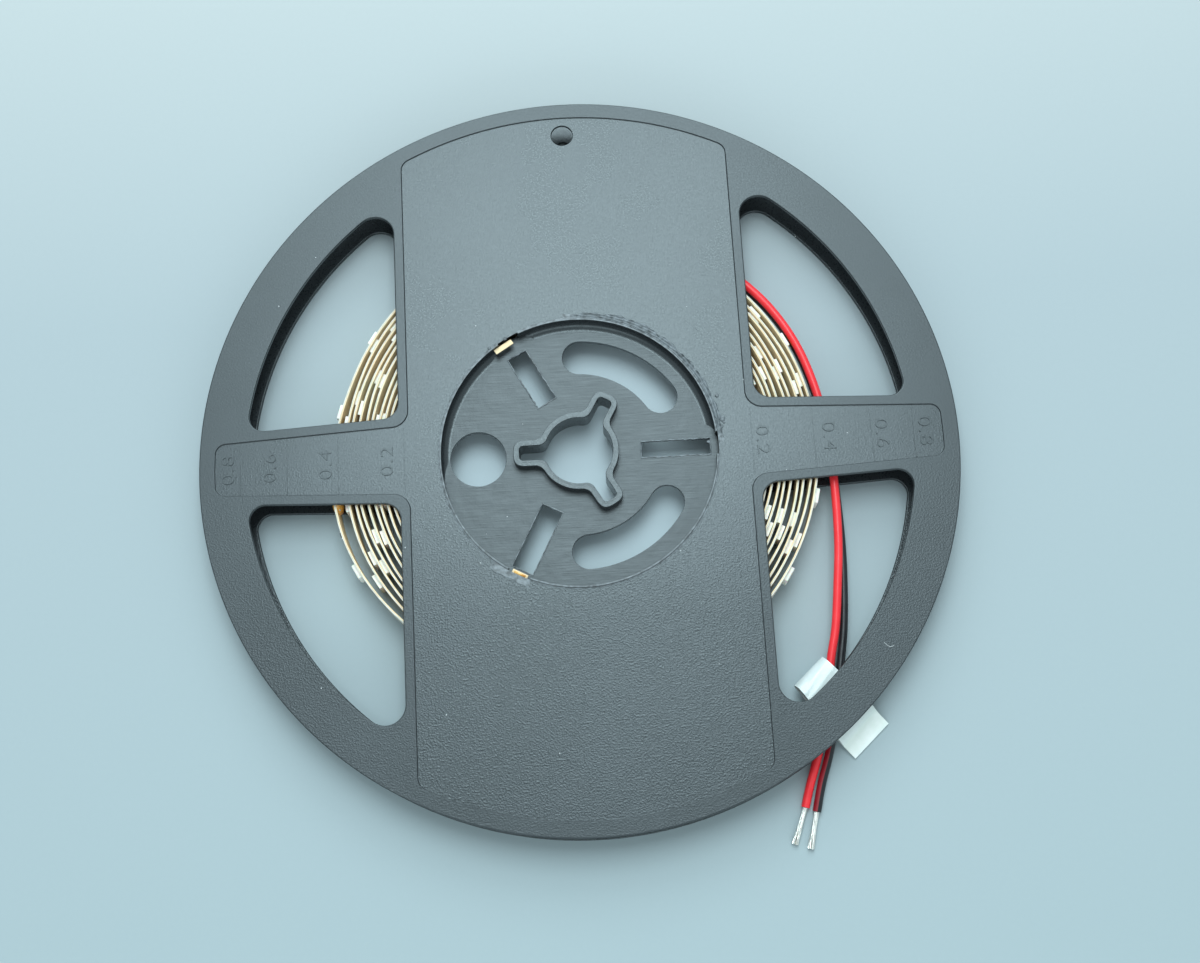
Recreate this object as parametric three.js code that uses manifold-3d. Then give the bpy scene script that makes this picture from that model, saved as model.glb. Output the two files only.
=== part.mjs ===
// Reel of flexible LED strip: a front flange and a rear half with the hub, both moulded in black plastic,
// a coil of strip between them, and a pair of leads that comes out under the rim beside a flag of tape.
// Millimetres, +Z up. The reel lies on its back with the origin at the centre of its rear face.

import * as THREE from 'three';
import { mergeVertices } from 'three/addons/utils/BufferGeometryUtils.js';
import Module from 'manifold-3d';

// Flanges
const rimRadius = 89;
const flangeThickness = 1.1;
const stripWidth = 8;
const stripSideClearance = 0.1;
const edgeChamfer = 0.3;
const rimFacets = 80;

// Shallow recess in each outer face: a central band with an arm to each side
const recessDepth = 0.35;
const bandHalfWidth = 39.8;
const bandEndRadius = 85.3;
const bandCorner = 3;
const armCorner = 4;
const armEndCorner = 2.5;
const armHalfHeightAtBand = 8.3;
const armHalfHeightAtEnd = 6.2;

// Windows, four alike, and the small hole near the rim
const windowMargin = 2.3;
const windowOuterRadius = 78.3;
const windowTopCorner = 4.6;
const windowArmCorner = 3.6;
const peepHoleDiameter = 5.3;
const peepHoleFromCentre = 80.7;

// Hub
const hubRadius = 32.3;
const hubWall = 0.9;
const hubLip = 0.45;
const seatClearance = 0.1;
const hubFloorDepth = 3.2;
const hubFloorThickness = 1.2;
const hubNotchWidth = 5.4;
const slotInnerRadius = 14.6;
const hubSlots = [
  { angle: 0, width: 4, outerRadius: 31 },
  { angle: 118.5, width: 5, outerRadius: 28.8 },
  { angle: 242, width: 5.4, outerRadius: 31 },
];
const kidneyRadius = 23.8;
const kidneyWidth = 8.2;
const kidneyHalfSpan = 27;
const kidneyAngles = [60, -60];
const roundHoleDiameter = 13.2;

// Arbor collar: a round bore with three lobes
const arborRadius = 8;
const lobeAngles = [60, 180, 300];
const lobeReach = 14;
const lobeHalfWidth = 1.75;
const lobeBlend = 1.8;
const lobeCorner = 1.1;
const collarWall = 1.4;
const collarSetback = 0.3;
const collarHeight = 6.8;

// Strip coil, wound clockwise outwards
const coilClearance = 0.3;
const coilTurns = 16;
const turnPitch = 1.445;
const facetsPerTurn = 34;
const stripThickness = 0.5;
const stripEndAngle = 97;
const looseTurnLift = 1.9;
const looseFromAngle = 155;
const looseToAngle = 235;

// Parts on the strip
const ledLength = 3.2;
const ledWidth = 5.6;
const ledHeight = 0.85;
const ledCornerCut = 0.7;
const ledSpacing = 19.6;
const ledSink = 0.2;
const partSeat = 0.05;
const resistorLength = 2;
const resistorWidth = 1.25;
const resistorHeight = 0.5;
const ledsPerResistor = 3;
const spliceAngle = 189;
const spliceLength = 2.4;
const spliceHeight = 5;
const spliceThickness = 0.4;
const solderLength = 3.4;
const solderWidth = 1.7;
const solderHeight = 0.9;

// Leads
const leadDiameter = 2;
const leadSides = 8;
const leadSteps = 46;
const wireGap = 0.3;
const conductorDiameter = 1.1;
const conductorTipDiameter = 1.5;
const redLeadRoute = [
  [-5, 57.95, 6.3], [8, 57.6, 6.3], [20, 54.75, 6.3], [31, 49.7, 6.3], [40, 42.6, 6.3], [47.5, 34.5, 6.3],
  [53.3, 24.5, 6.3], [57, 12.9, 6.3], [58.9, 0.5, 6.3], [59.4, -12, 6.2], [59.1, -24.1, 6], [58.1, -34.1, 5.5],
  [56.8, -44.1, 4.8], [55.1, -51.6, 4.2], [52.8, -64, 3.2], [50.6, -72.5, 2.5], [48.2, -79.4, 1.5], [46.7, -84.4, 1.02],
];
const blackLeadRoute = [
  [-5, 57.95, 3.9], [8, 57.6, 3.9], [20, 54.75, 3.9], [31, 49.7, 3.9], [40, 42.6, 3.9], [47.5, 34.5, 3.9],
  [53.3, 24.5, 3.9], [57.1, 12.9, 3.9], [59.2, 0.5, 3.9], [59.9, -12, 3.9], [60.1, -24.1, 3.8], [59.7, -34.1, 3.6],
  [58.8, -44.1, 3.3], [57.5, -51.6, 3.1], [55.3, -64, 2.8], [53.1, -72.5, 2.45], [50.8, -79.4, 1.5], [49.2, -85.5, 1.02],
];
const redTip = [43.6, -92.4, 0.8];
const blackTip = [47.1, -93.6, 0.8];

// Flag of tape folded round the leads
const tapeWidth = 11.2;
const tapeThickness = 0.16;
const tapeHeading = -48;
const tapeFold = [50.1, -55.8];
const tapeSteps = 30;
const tapeSection = [
  [19.6, 0.42], [17.4, 0.8], [15.2, 1.25], [9, 1.3], [2.5, 1.3], [-0.6, 1.75], [-1.6, 3.3],
  [-0.4, 5.05], [3, 5.4], [8, 4.8], [12.4, 4.15], [14.6, 3], [15.8, 1.8], [17.4, 1.2], [19.6, 0.74],
];

// Sizes that follow from those above
const windingGap = stripWidth + 2 * stripSideClearance;
const reelHeight = windingGap + 2 * flangeThickness;
const frontInner = flangeThickness + windingGap;
const hubFloorTop = reelHeight - hubFloorDepth;
const hubFloorBottom = hubFloorTop - hubFloorThickness;
const boreRadius = hubRadius + hubLip + seatClearance;
const stripBottom = flangeThickness + stripSideClearance;
const coilInnerRadius = hubRadius + hubWall + coilClearance;
const past = 1;

const wasm = await Module();
wasm.setup();

function solidFrom(geometry) {
  const bare = geometry.clone();
  bare.deleteAttribute('normal');
  bare.deleteAttribute('uv');
  const merged = mergeVertices(bare, 1e-5);
  const vertProperties = new Float32Array(merged.attributes.position.array);
  const triVerts = new Uint32Array(merged.index.array);
  return new wasm.Manifold(new wasm.Mesh({ numProp: 3, vertProperties, triVerts }));
}

function geometryFrom(solid) {
  const mesh = solid.getMesh();
  const geometry = new THREE.BufferGeometry();
  geometry.setAttribute('position', new THREE.BufferAttribute(new Float32Array(mesh.vertProperties), 3));
  geometry.setIndex(new THREE.BufferAttribute(new Uint32Array(mesh.triVerts), 1));
  geometry.computeVertexNormals();
  return geometry;
}

const radians = THREE.MathUtils.degToRad;

function polar(radius, degrees) {
  return new THREE.Vector2(radius * Math.cos(radians(degrees)), radius * Math.sin(radians(degrees)));
}

// Points on an arc, from and to in degrees
function arc(centre, radius, from, to, steps) {
  const points = [];
  for (let i = 0; i <= steps; i += 1) {
    points.push(polar(radius, from + ((to - from) * i) / steps).add(centre));
  }
  return points;
}

function prism(points, bottom, top) {
  const geometry = new THREE.ExtrudeGeometry(new THREE.Shape(points), { depth: top - bottom, bevelEnabled: false });
  geometry.translate(0, 0, bottom);
  return solidFrom(geometry);
}

// A prism whose outline grows by the chamfer on the way to one outer face
function flaredPrism(points, face, towards, chamfer) {
  const geometry = new THREE.ExtrudeGeometry(new THREE.Shape(points), {
    depth: past,
    bevelEnabled: true,
    bevelThickness: chamfer,
    bevelSize: chamfer,
    bevelSegments: 1,
  });
  geometry.translate(0, 0, towards > 0 ? face : face - past);
  return solidFrom(geometry);
}

function revolve(section) {
  const points = section.map(([x, y]) => new THREE.Vector2(x, y));
  points.push(points[0].clone());
  const geometry = new THREE.LatheGeometry(points, rimFacets);
  geometry.rotateX(Math.PI / 2);
  return solidFrom(geometry);
}

function degreesOf(vector) {
  return THREE.MathUtils.radToDeg(Math.atan2(vector.y, vector.x));
}

// Half height of an arm's recess at a distance from the centre, and the slope of its edge
const armSlope = (armHalfHeightAtEnd - armHalfHeightAtBand) / (bandEndRadius - bandHalfWidth);

function armEdge(x, offset) {
  const straight = armHalfHeightAtBand + armSlope * (x - bandHalfWidth);
  return straight + offset * Math.hypot(1, armSlope);
}

// Where the arm's edge, moved out by an offset, meets a circle round the centre
function armMeetsCircle(radius, offset) {
  const start = armEdge(0, offset);
  const a = 1 + armSlope ** 2;
  const b = 2 * armSlope * start;
  const c = start ** 2 - radius ** 2;
  const x = (-b + Math.sqrt(b * b - 4 * a * c)) / (2 * a);
  return new THREE.Vector2(x, armEdge(x, offset));
}

// One window, in the quarter where x and y are positive, from its inner corner anticlockwise
function windowOutline() {
  const inner = bandHalfWidth + windowMargin;
  const armNormal = THREE.MathUtils.radToDeg(Math.atan(armSlope)) - 90;
  const nearX = inner + armCorner;
  const near = new THREE.Vector2(nearX, armEdge(nearX, windowMargin + armCorner));
  const far = armMeetsCircle(windowOuterRadius - windowArmCorner, windowMargin + windowArmCorner);
  const topX = inner + windowTopCorner;
  const top = new THREE.Vector2(topX, Math.sqrt((windowOuterRadius - windowTopCorner) ** 2 - topX ** 2));
  return [
    ...arc(near, armCorner, 180, 360 + armNormal, 6),
    ...arc(far, windowArmCorner, armNormal, degreesOf(far), 6),
    ...arc(new THREE.Vector2(), windowOuterRadius, degreesOf(far), degreesOf(top), 13).slice(1, -1),
    ...arc(top, windowTopCorner, degreesOf(top), 180, 9),
  ];
}

// A quarter of the recess, from the end of the arm anticlockwise to the end of the band
function recessQuarter() {
  const endCorner = armMeetsCircle(bandEndRadius - armEndCorner, -armEndCorner);
  const armNormal = THREE.MathUtils.radToDeg(Math.atan(armSlope)) + 90;
  const elbowX = bandHalfWidth + armCorner;
  const elbow = new THREE.Vector2(elbowX, armEdge(elbowX, armCorner));
  const bandX = bandHalfWidth - bandCorner;
  const bandEnd = new THREE.Vector2(bandX, Math.sqrt((bandEndRadius - bandCorner) ** 2 - bandX ** 2));
  return [
    new THREE.Vector2(bandEndRadius, 0),
    ...arc(endCorner, armEndCorner, degreesOf(endCorner), armNormal, 5),
    ...arc(elbow, armCorner, armNormal + 180, 180, 5),
    ...arc(bandEnd, bandCorner, 0, degreesOf(bandEnd), 5),
    ...arc(new THREE.Vector2(), bandEndRadius, degreesOf(bandEnd), 90, 7).slice(1),
  ];
}

function mirrored(points, x, y) {
  const copy = points.map((point) => new THREE.Vector2(point.x * x, point.y * y));
  return x * y < 0 ? copy.reverse() : copy;
}

function recessOutline() {
  const quarter = recessQuarter();
  const quarters = [[1, 1], [-1, 1], [-1, -1], [1, -1]].map(([x, y]) => mirrored(quarter, x, y));
  return quarters.flatMap((points) => points.slice(0, -1));
}

// Windows, recess and small hole that both flanges have, cut from the outer face inwards
function cutFlange(solid, bottom, outerFace, outwards) {
  const recessFloor = outerFace - outwards * recessDepth;
  const beyond = outerFace + outwards * past;
  let cut = solid.subtract(prism(recessOutline(), Math.min(recessFloor, beyond), Math.max(recessFloor, beyond)));
  for (const [x, y] of [[1, 1], [-1, 1], [-1, -1], [1, -1]]) {
    const outline = mirrored(windowOutline(), x, y);
    cut = cut.subtract(prism(outline, bottom - past, bottom + flangeThickness + past));
    cut = cut.subtract(flaredPrism(outline, outerFace, outwards, edgeChamfer));
  }
  const peepHole = arc(polar(peepHoleFromCentre, 90), peepHoleDiameter / 2, 0, 345, 23);
  return cut.subtract(prism(peepHole, bottom - past, bottom + flangeThickness + past));
}

function makeFrontFlange() {
  const disc = revolve([
    [boreRadius, frontInner],
    [rimRadius - edgeChamfer, frontInner],
    [rimRadius, frontInner + edgeChamfer],
    [rimRadius, reelHeight - edgeChamfer],
    [rimRadius - edgeChamfer, reelHeight],
    [boreRadius, reelHeight],
  ]);
  return cutFlange(disc, frontInner, reelHeight, 1);
}

// Outline of the arbor bore, grown outwards by the collar's wall for its outside
function arborOutline(grow) {
  const round = arborRadius + grow;
  const half = lobeHalfWidth + grow;
  const tip = lobeReach + grow;
  const corner = lobeCorner + grow;
  const blendAngle = THREE.MathUtils.radToDeg(Math.asin(half / round) + lobeBlend / round);
  const blendEnd = Math.sqrt(round ** 2 - half ** 2) + lobeBlend;
  const path = new THREE.Path();
  lobeAngles.forEach((angle, index) => {
    const along = (distance, side) => polar(distance, angle).add(polar(side, angle + 90));
    const next = lobeAngles[(index + 1) % lobeAngles.length];
    const into = along(Math.sqrt(round ** 2 - half ** 2), -half);
    const outOf = along(Math.sqrt(round ** 2 - half ** 2), half);
    const sideStart = along(blendEnd, -half);
    const sideEnd = along(blendEnd, half);
    if (index === 0) {
      const start = polar(round, angle - blendAngle);
      path.moveTo(start.x, start.y);
    }
    path.quadraticCurveTo(into.x, into.y, sideStart.x, sideStart.y);
    const before = along(tip - corner, -half);
    const tipStart = along(tip, corner - half);
    const tipEnd = along(tip, half - corner);
    const after = along(tip - corner, half);
    path.lineTo(before.x, before.y);
    path.quadraticCurveTo(along(tip, -half).x, along(tip, -half).y, tipStart.x, tipStart.y);
    path.lineTo(tipEnd.x, tipEnd.y);
    path.quadraticCurveTo(along(tip, half).x, along(tip, half).y, after.x, after.y);
    path.lineTo(sideEnd.x, sideEnd.y);
    const arcStart = radians(angle + blendAngle);
    const arcEnd = radians(next - blendAngle) + (next < angle ? 2 * Math.PI : 0);
    const arcPoint = polar(round, angle + blendAngle);
    path.quadraticCurveTo(outOf.x, outOf.y, arcPoint.x, arcPoint.y);
    path.absarc(0, 0, round, arcStart, arcEnd, false);
  });
  const points = path.getPoints(4);
  return points.filter((point, index) => point.distanceTo(points[(index + 1) % points.length]) > 1e-4);
}

function bar(angle, from, to, width, bottom, top) {
  const side = polar(width / 2, angle + 90);
  const start = polar(from, angle);
  const end = polar(to, angle);
  const corners = [start.clone().sub(side), end.clone().sub(side), end.clone().add(side), start.clone().add(side)];
  return prism(corners, bottom, top);
}

function kidneyOutline(angle) {
  const from = angle - kidneyHalfSpan;
  const to = angle + kidneyHalfSpan;
  const half = kidneyWidth / 2;
  const centre = new THREE.Vector2();
  return [
    ...arc(centre, kidneyRadius + half, from, to, 9),
    ...arc(polar(kidneyRadius, to), half, to, to + 180, 8).slice(1, -1),
    ...arc(centre, kidneyRadius - half, to, from, 7),
    ...arc(polar(kidneyRadius, from), half, from + 180, from + 360, 8).slice(1, -1),
  ];
}

function makeRearHalf() {
  const wallOuter = hubRadius + hubWall;
  const wallTop = frontInner - seatClearance;
  const shell = revolve([
    [hubRadius, 0],
    [rimRadius - edgeChamfer, 0],
    [rimRadius, edgeChamfer],
    [rimRadius, flangeThickness - edgeChamfer],
    [rimRadius - edgeChamfer, flangeThickness],
    [wallOuter, flangeThickness],
    [wallOuter, wallTop],
    [hubRadius + hubLip, wallTop],
    [hubRadius + hubLip, reelHeight],
    [hubRadius, reelHeight],
  ]);
  let solid = cutFlange(shell, 0, 0, -1);
  const floorEdge = arc(new THREE.Vector2(), hubRadius + hubLip / 2, 0, 360 - 360 / rimFacets, rimFacets - 1);
  let floor = prism(floorEdge, hubFloorBottom, hubFloorTop);
  const under = hubFloorBottom - past;
  const over = hubFloorTop + past;
  for (const slot of hubSlots) {
    floor = floor.subtract(bar(slot.angle, slotInnerRadius, slot.outerRadius, slot.width, under, over));
    solid = solid.subtract(bar(slot.angle, hubRadius - past, wallOuter + past, hubNotchWidth, hubFloorTop, reelHeight + past));
  }
  for (const angle of kidneyAngles) {
    floor = floor.subtract(prism(kidneyOutline(angle), under, over));
  }
  floor = floor.subtract(prism(arc(polar(kidneyRadius, 180), roundHoleDiameter / 2, 0, 348, 29), under, over));
  const collarTop = reelHeight - collarSetback;
  const collar = prism(arborOutline(collarWall), collarTop - collarHeight, collarTop);
  const bore = prism(arborOutline(0), collarTop - collarHeight - past, collarTop + past);
  return solid.add(floor).add(collar).subtract(bore);
}

// Inner face of the strip's turns: a point at each facet's corner, from the inner end to the outer end
function coilPath() {
  const path = [];
  const count = coilTurns * facetsPerTurn;
  for (let i = 0; i <= count; i += 1) {
    const turn = i / facetsPerTurn;
    const angle = stripEndAngle - (turn - coilTurns) * 360;
    const place = ((angle % 360) + 360) % 360;
    const share = (place - looseFromAngle) / (looseToAngle - looseFromAngle);
    const loose = turn > coilTurns - 1 && share > 0 && share < 1;
    const lift = loose ? looseTurnLift * Math.sin(Math.PI * share) ** 2 : 0;
    path.push(polar(coilInnerRadius + turnPitch * turn + lift, place));
  }
  return path;
}

const coil = coilPath();

// Facets of the coil: start, direction, outward normal, length and distance along the strip
const facets = coil.slice(0, -1).map((start, index) => {
  const step = coil[index + 1].clone().sub(start);
  const along = step.clone().normalize();
  return { start, along, out: new THREE.Vector2(-along.y, along.x), length: step.length() };
});
let stripLength = 0;
for (const facet of facets) {
  facet.from = stripLength;
  stripLength += facet.length;
}

// A place on the strip for a part of some length: it lies whole on one facet
function placeOnStrip(distance, partLength) {
  const index = facets.findIndex((facet) => facet.from + facet.length >= distance);
  const facet = facets[index];
  const margin = Math.min(partLength / 2, facet.length / 2);
  const along = THREE.MathUtils.clamp(distance - facet.from, margin, facet.length - margin);
  const point = facet.start.clone().addScaledVector(facet.along, along);
  return { facet, point, turn: index / facetsPerTurn };
}

// Turns a part's own axes onto the strip: x along it, y up its width, z away from the coil's centre
function ontoStrip(geometry, place, offset, height) {
  const { facet, point } = place;
  const x = new THREE.Vector3(facet.along.x, facet.along.y, 0);
  const z = new THREE.Vector3(facet.out.x, facet.out.y, 0);
  const y = new THREE.Vector3().crossVectors(z, x);
  const origin = new THREE.Vector3(point.x, point.y, height).addScaledVector(z, offset);
  geometry.applyMatrix4(new THREE.Matrix4().makeBasis(x, y, z).setPosition(origin));
  return geometry;
}

const stripMiddle = stripBottom + stripWidth / 2;

function ledGeometry(place, sink) {
  const x = ledLength / 2;
  const y = ledWidth / 2;
  const outline = [[-x, -y], [x, -y], [x, y - ledCornerCut], [x - ledCornerCut, y], [-x, y]];
  const shape = new THREE.Shape(outline.map(([px, py]) => new THREE.Vector2(px, py)));
  const geometry = new THREE.ExtrudeGeometry(shape, { depth: ledHeight + sink, bevelEnabled: false });
  const base = sink > 0 ? stripThickness - sink : stripThickness + partSeat;
  return ontoStrip(geometry, place, base, stripMiddle);
}

function blockOnStrip(place, length, width, thickness, offset, height) {
  const geometry = new THREE.BoxGeometry(length, width, thickness);
  return ontoStrip(geometry, place, offset + thickness / 2, height);
}

// Distances of the LED packages along the strip, set out from its outer end
const ledDistances = [];
for (let distance = stripLength - ledSpacing / 2; distance > ledLength; distance -= ledSpacing) {
  ledDistances.unshift(distance);
}
const ledPlaces = ledDistances.map((distance) => placeOnStrip(distance, ledLength));
const outerTurnStart = coilTurns - 1;

// The inner turns' packages show only through the windows, so they are on the coil there and nowhere else
function showsInWindow(point) {
  return Math.abs(point.x) > bandHalfWidth && Math.abs(point.y) > armEdge(Math.abs(point.x), 0);
}

function makeCoil() {
  const outside = coil.map((point, index) => {
    const before = facets[Math.max(index - 1, 0)].out;
    const after = facets[Math.min(index, facets.length - 1)].out;
    const bisector = before.clone().add(after).normalize();
    return point.clone().addScaledVector(bisector, stripThickness / bisector.dot(after));
  });
  const ribbon = prism([...coil, ...outside.reverse()], stripBottom, stripBottom + stripWidth);
  const shown = ledPlaces.filter((place) => place.turn < outerTurnStart && showsInWindow(place.point));
  return shown.reduce((solid, place) => solid.add(solidFrom(ledGeometry(place, ledSink))), ribbon);
}

function leadGeometry(route) {
  const curve = new THREE.CatmullRomCurve3(route.map((point) => new THREE.Vector3(...point)));
  const section = new THREE.Shape(arc(new THREE.Vector2(), leadDiameter / 2, 0, 360 - 360 / leadSides, leadSides - 1));
  return new THREE.ExtrudeGeometry(section, { steps: leadSteps, extrudePath: curve, bevelEnabled: false });
}

// A tinned end that starts just past the insulation and widens to its tip
function conductorGeometry(route, tip) {
  const end = new THREE.Vector3(...route.at(-1));
  const target = new THREE.Vector3(...tip);
  const heading = target.clone().sub(end).normalize();
  const start = end.addScaledVector(heading, wireGap);
  const length = target.distanceTo(start);
  const geometry = new THREE.CylinderGeometry(conductorTipDiameter / 2, conductorDiameter / 2, length, 10);
  geometry.applyQuaternion(new THREE.Quaternion().setFromUnitVectors(new THREE.Vector3(0, 1, 0), heading));
  const middle = start.clone().add(target).multiplyScalar(0.5);
  return geometry.translate(middle.x, middle.y, middle.z);
}

function tapeGeometry() {
  const path = new THREE.SplineCurve(tapeSection.map(([x, y]) => new THREE.Vector2(x, y)));
  const sides = [[], []];
  for (let i = 0; i <= tapeSteps; i += 1) {
    const point = path.getPointAt(i / tapeSteps);
    const tangent = path.getTangentAt(i / tapeSteps);
    const normal = new THREE.Vector2(-tangent.y, tangent.x).multiplyScalar(tapeThickness / 2);
    sides[0].push(point.clone().add(normal));
    sides[1].push(point.clone().sub(normal));
  }
  const shape = new THREE.Shape([...sides[0], ...sides[1].reverse()]);
  const geometry = new THREE.ExtrudeGeometry(shape, { depth: tapeWidth, bevelEnabled: false });
  geometry.translate(0, 0, -tapeWidth / 2);
  const along = polar(1, tapeHeading);
  const x = new THREE.Vector3(along.x, along.y, 0);
  const y = new THREE.Vector3(0, 0, 1);
  const z = new THREE.Vector3().crossVectors(x, y);
  const placed = new THREE.Matrix4().makeBasis(x, y, z).setPosition(...tapeFold, 0);
  return geometry.applyMatrix4(placed);
}

const finishes = {
  blackPlastic: { color: 0x3d4347, roughness: 0.55, metalness: 0 },
  strip: { color: 0xe6e0c8, roughness: 0.6, metalness: 0 },
  package: { color: 0xf4f1e6, roughness: 0.4, metalness: 0 },
  resistor: { color: 0x23251f, roughness: 0.5, metalness: 0 },
  solder: { color: 0xb9b6ae, roughness: 0.35, metalness: 1 },
  copper: { color: 0xb9772f, roughness: 0.4, metalness: 1 },
  redSleeve: { color: 0xd8222c, roughness: 0.45, metalness: 0 },
  blackSleeve: { color: 0x15171a, roughness: 0.45, metalness: 0 },
  tape: { color: 0xe2ece6, roughness: 0.3, metalness: 0 },
};

const reel = new THREE.Group();

function addPiece(name, geometry, finish) {
  const piece = new THREE.Mesh(geometry, new THREE.MeshStandardMaterial(finishes[finish]));
  piece.name = name;
  reel.add(piece);
}

addPiece('front_flange', geometryFrom(makeFrontFlange()), 'blackPlastic');
addPiece('rear_half', geometryFrom(makeRearHalf()), 'blackPlastic');
addPiece('strip_coil', geometryFrom(makeCoil()), 'strip');

const outerPlaces = ledPlaces.filter((place) => place.turn >= outerTurnStart);
outerPlaces.forEach((place, index) => {
  const number = String(index + 1).padStart(2, '0');
  addPiece(`led_package_${number}`, ledGeometry(place, 0), 'package');
});

const firstOuter = ledDistances.length - outerPlaces.length;
let resistorCount = 0;
for (let i = firstOuter + 1; i < ledDistances.length; i += ledsPerResistor) {
  const middle = (ledDistances[i - 1] + ledDistances[i]) / 2;
  const place = placeOnStrip(middle, resistorLength);
  resistorCount += 1;
  const block = blockOnStrip(place, resistorLength, resistorWidth, resistorHeight, stripThickness + partSeat, stripMiddle);
  addPiece(`resistor_${resistorCount}`, block, 'resistor');
}

// The splice is on the loose turn's inner face
const spliceFacet = facets.findIndex((facet, index) => {
  const place = (degreesOf(facet.start) + 360) % 360;
  return index / facetsPerTurn > outerTurnStart && Math.abs(place - spliceAngle) <= 180 / facetsPerTurn;
});
const splicePlace = placeOnStrip(facets[spliceFacet].from + facets[spliceFacet].length / 2, spliceLength);
const spliceOffset = -partSeat - spliceThickness;
const splice = blockOnStrip(splicePlace, spliceLength, spliceHeight, spliceThickness, spliceOffset, stripMiddle);
addPiece('strip_splice', splice, 'copper');

const padPlace = placeOnStrip(stripLength - solderLength / 2, solderLength);
for (const [name, route] of [['red', redLeadRoute], ['black', blackLeadRoute]]) {
  const offset = stripThickness + partSeat;
  const joint = blockOnStrip(padPlace, solderLength, solderWidth, solderHeight, offset, route[0][2]);
  addPiece(`${name}_solder_joint`, joint, 'solder');
}

addPiece('red_lead', leadGeometry(redLeadRoute), 'redSleeve');
addPiece('black_lead', leadGeometry(blackLeadRoute), 'blackSleeve');
addPiece('red_conductor', conductorGeometry(redLeadRoute, redTip), 'solder');
addPiece('black_conductor', conductorGeometry(blackLeadRoute, blackTip), 'solder');
addPiece('tape_flag', tapeGeometry(), 'tape');

export default reel;
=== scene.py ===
"""A 178 mm reel of LED strip lying on its back on a pale surface, dressed for a close look."""

import math
import random
from contextlib import contextmanager

import bpy
from mathutils import Matrix, Vector


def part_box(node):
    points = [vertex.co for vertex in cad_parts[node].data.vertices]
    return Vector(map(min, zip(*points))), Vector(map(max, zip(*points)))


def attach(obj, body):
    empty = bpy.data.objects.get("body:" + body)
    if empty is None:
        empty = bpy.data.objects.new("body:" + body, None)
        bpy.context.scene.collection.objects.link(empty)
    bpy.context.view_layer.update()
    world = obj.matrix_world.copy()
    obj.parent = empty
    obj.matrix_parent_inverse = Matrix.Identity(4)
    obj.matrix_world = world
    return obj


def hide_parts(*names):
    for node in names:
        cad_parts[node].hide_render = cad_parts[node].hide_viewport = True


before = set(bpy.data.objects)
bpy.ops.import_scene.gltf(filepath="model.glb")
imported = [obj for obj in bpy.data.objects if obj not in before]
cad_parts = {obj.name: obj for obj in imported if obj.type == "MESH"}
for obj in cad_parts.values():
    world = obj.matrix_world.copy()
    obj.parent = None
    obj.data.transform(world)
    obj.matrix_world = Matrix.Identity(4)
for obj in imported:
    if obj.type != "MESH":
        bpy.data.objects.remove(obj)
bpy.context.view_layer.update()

# Camera: it looks down on the reel from the near side, fitted to the circles of the flanges and the hub.
camera_data = bpy.data.cameras.new("photo_camera")
camera_data.sensor_width = 36
camera_data.lens = 49.5
camera_data.clip_start = 0.01
camera = bpy.data.objects.new("photo_camera", camera_data)
camera.location = (0.004012, -0.105453, 0.381698)
camera.rotation_euler = [math.radians(turn) for turn in (14.695, 0.764, -3.2)]
bpy.context.scene.collection.objects.link(camera)
bpy.context.scene.camera = camera


# Surface: pale matt card a little larger than the view, with painted light: painted lighter towards the far side
# where the lamp is, and painted lighter where it shows through the hub.
def material(name, slots=()):
    """A new node material: its nodes, its links and its main shader, with plain values set on the shader."""
    made = bpy.data.materials.new(name)
    made.use_nodes = True
    shader = made.node_tree.nodes["Principled BSDF"]
    for socket, value in slots:
        shader.inputs[socket].default_value = value
    return made, made.node_tree, shader


def node(tree, kind, values=(), **settings):
    """A node with its settings and the values of its inputs, each a socket or a plain value."""
    added = tree.nodes.new(kind)
    for setting, value in settings.items():
        setattr(added, setting, value)
    for socket, value in values:
        if isinstance(value, bpy.types.NodeSocket):
            tree.links.new(value, added.inputs[socket])
        else:
            added.inputs[socket].default_value = value
    return added


def object_place(tree):
    return tree.nodes.new("ShaderNodeTexCoord").outputs["Object"]


def ramp(tree, source, stops):
    """A colour ramp fed by a socket; stops are (place, colour), where a single number is a grey."""
    added = node(tree, "ShaderNodeValToRGB", [("Fac", source)])
    elements = added.color_ramp.elements
    while len(elements) < len(stops):
        elements.new(0.5)
    for element, (place, colour) in zip(elements, stops):
        element.position = place
        element.color = (*colour, 1) if isinstance(colour, tuple) else (colour, colour, colour, 1)
    return added.outputs["Color"]


def map_range(tree, source, low, high, to_low=0, to_high=1):
    return node(tree, "ShaderNodeMapRange", [("Value", source), ("From Min", low), ("From Max", high),
                                             ("To Min", to_low), ("To Max", to_high)]).outputs["Result"]


def noise(tree, scale, detail=2.0, roughness=0.5, vector=None):
    """Noise on the object's own coordinates, or on those given."""
    return node(tree, "ShaderNodeTexNoise", [("Vector", vector or object_place(tree)), ("Scale", scale),
                                             ("Detail", detail), ("Roughness", roughness)]).outputs["Fac"]


def mix(tree, blend, share, first, second):
    """Two colours mixed; each of share, first and second is a socket or a plain value."""
    added = node(tree, "ShaderNodeMix", data_type="RGBA", blend_type=blend)
    for socket, value in (("Factor", share), ("A", first), ("B", second)):
        ends = [end for end in added.inputs if end.name == socket and end.enabled]
        if isinstance(value, bpy.types.NodeSocket):
            tree.links.new(value, ends[0])
        else:
            ends[0].default_value = value if isinstance(value, (int, float)) else (*value, 1)
    return [end for end in added.outputs if end.enabled][0]


def arithmetic(tree, operation, *values):
    """One sum on sockets or plain numbers."""
    return node(tree, "ShaderNodeMath", list(enumerate(values)), operation=operation).outputs[0]


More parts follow.
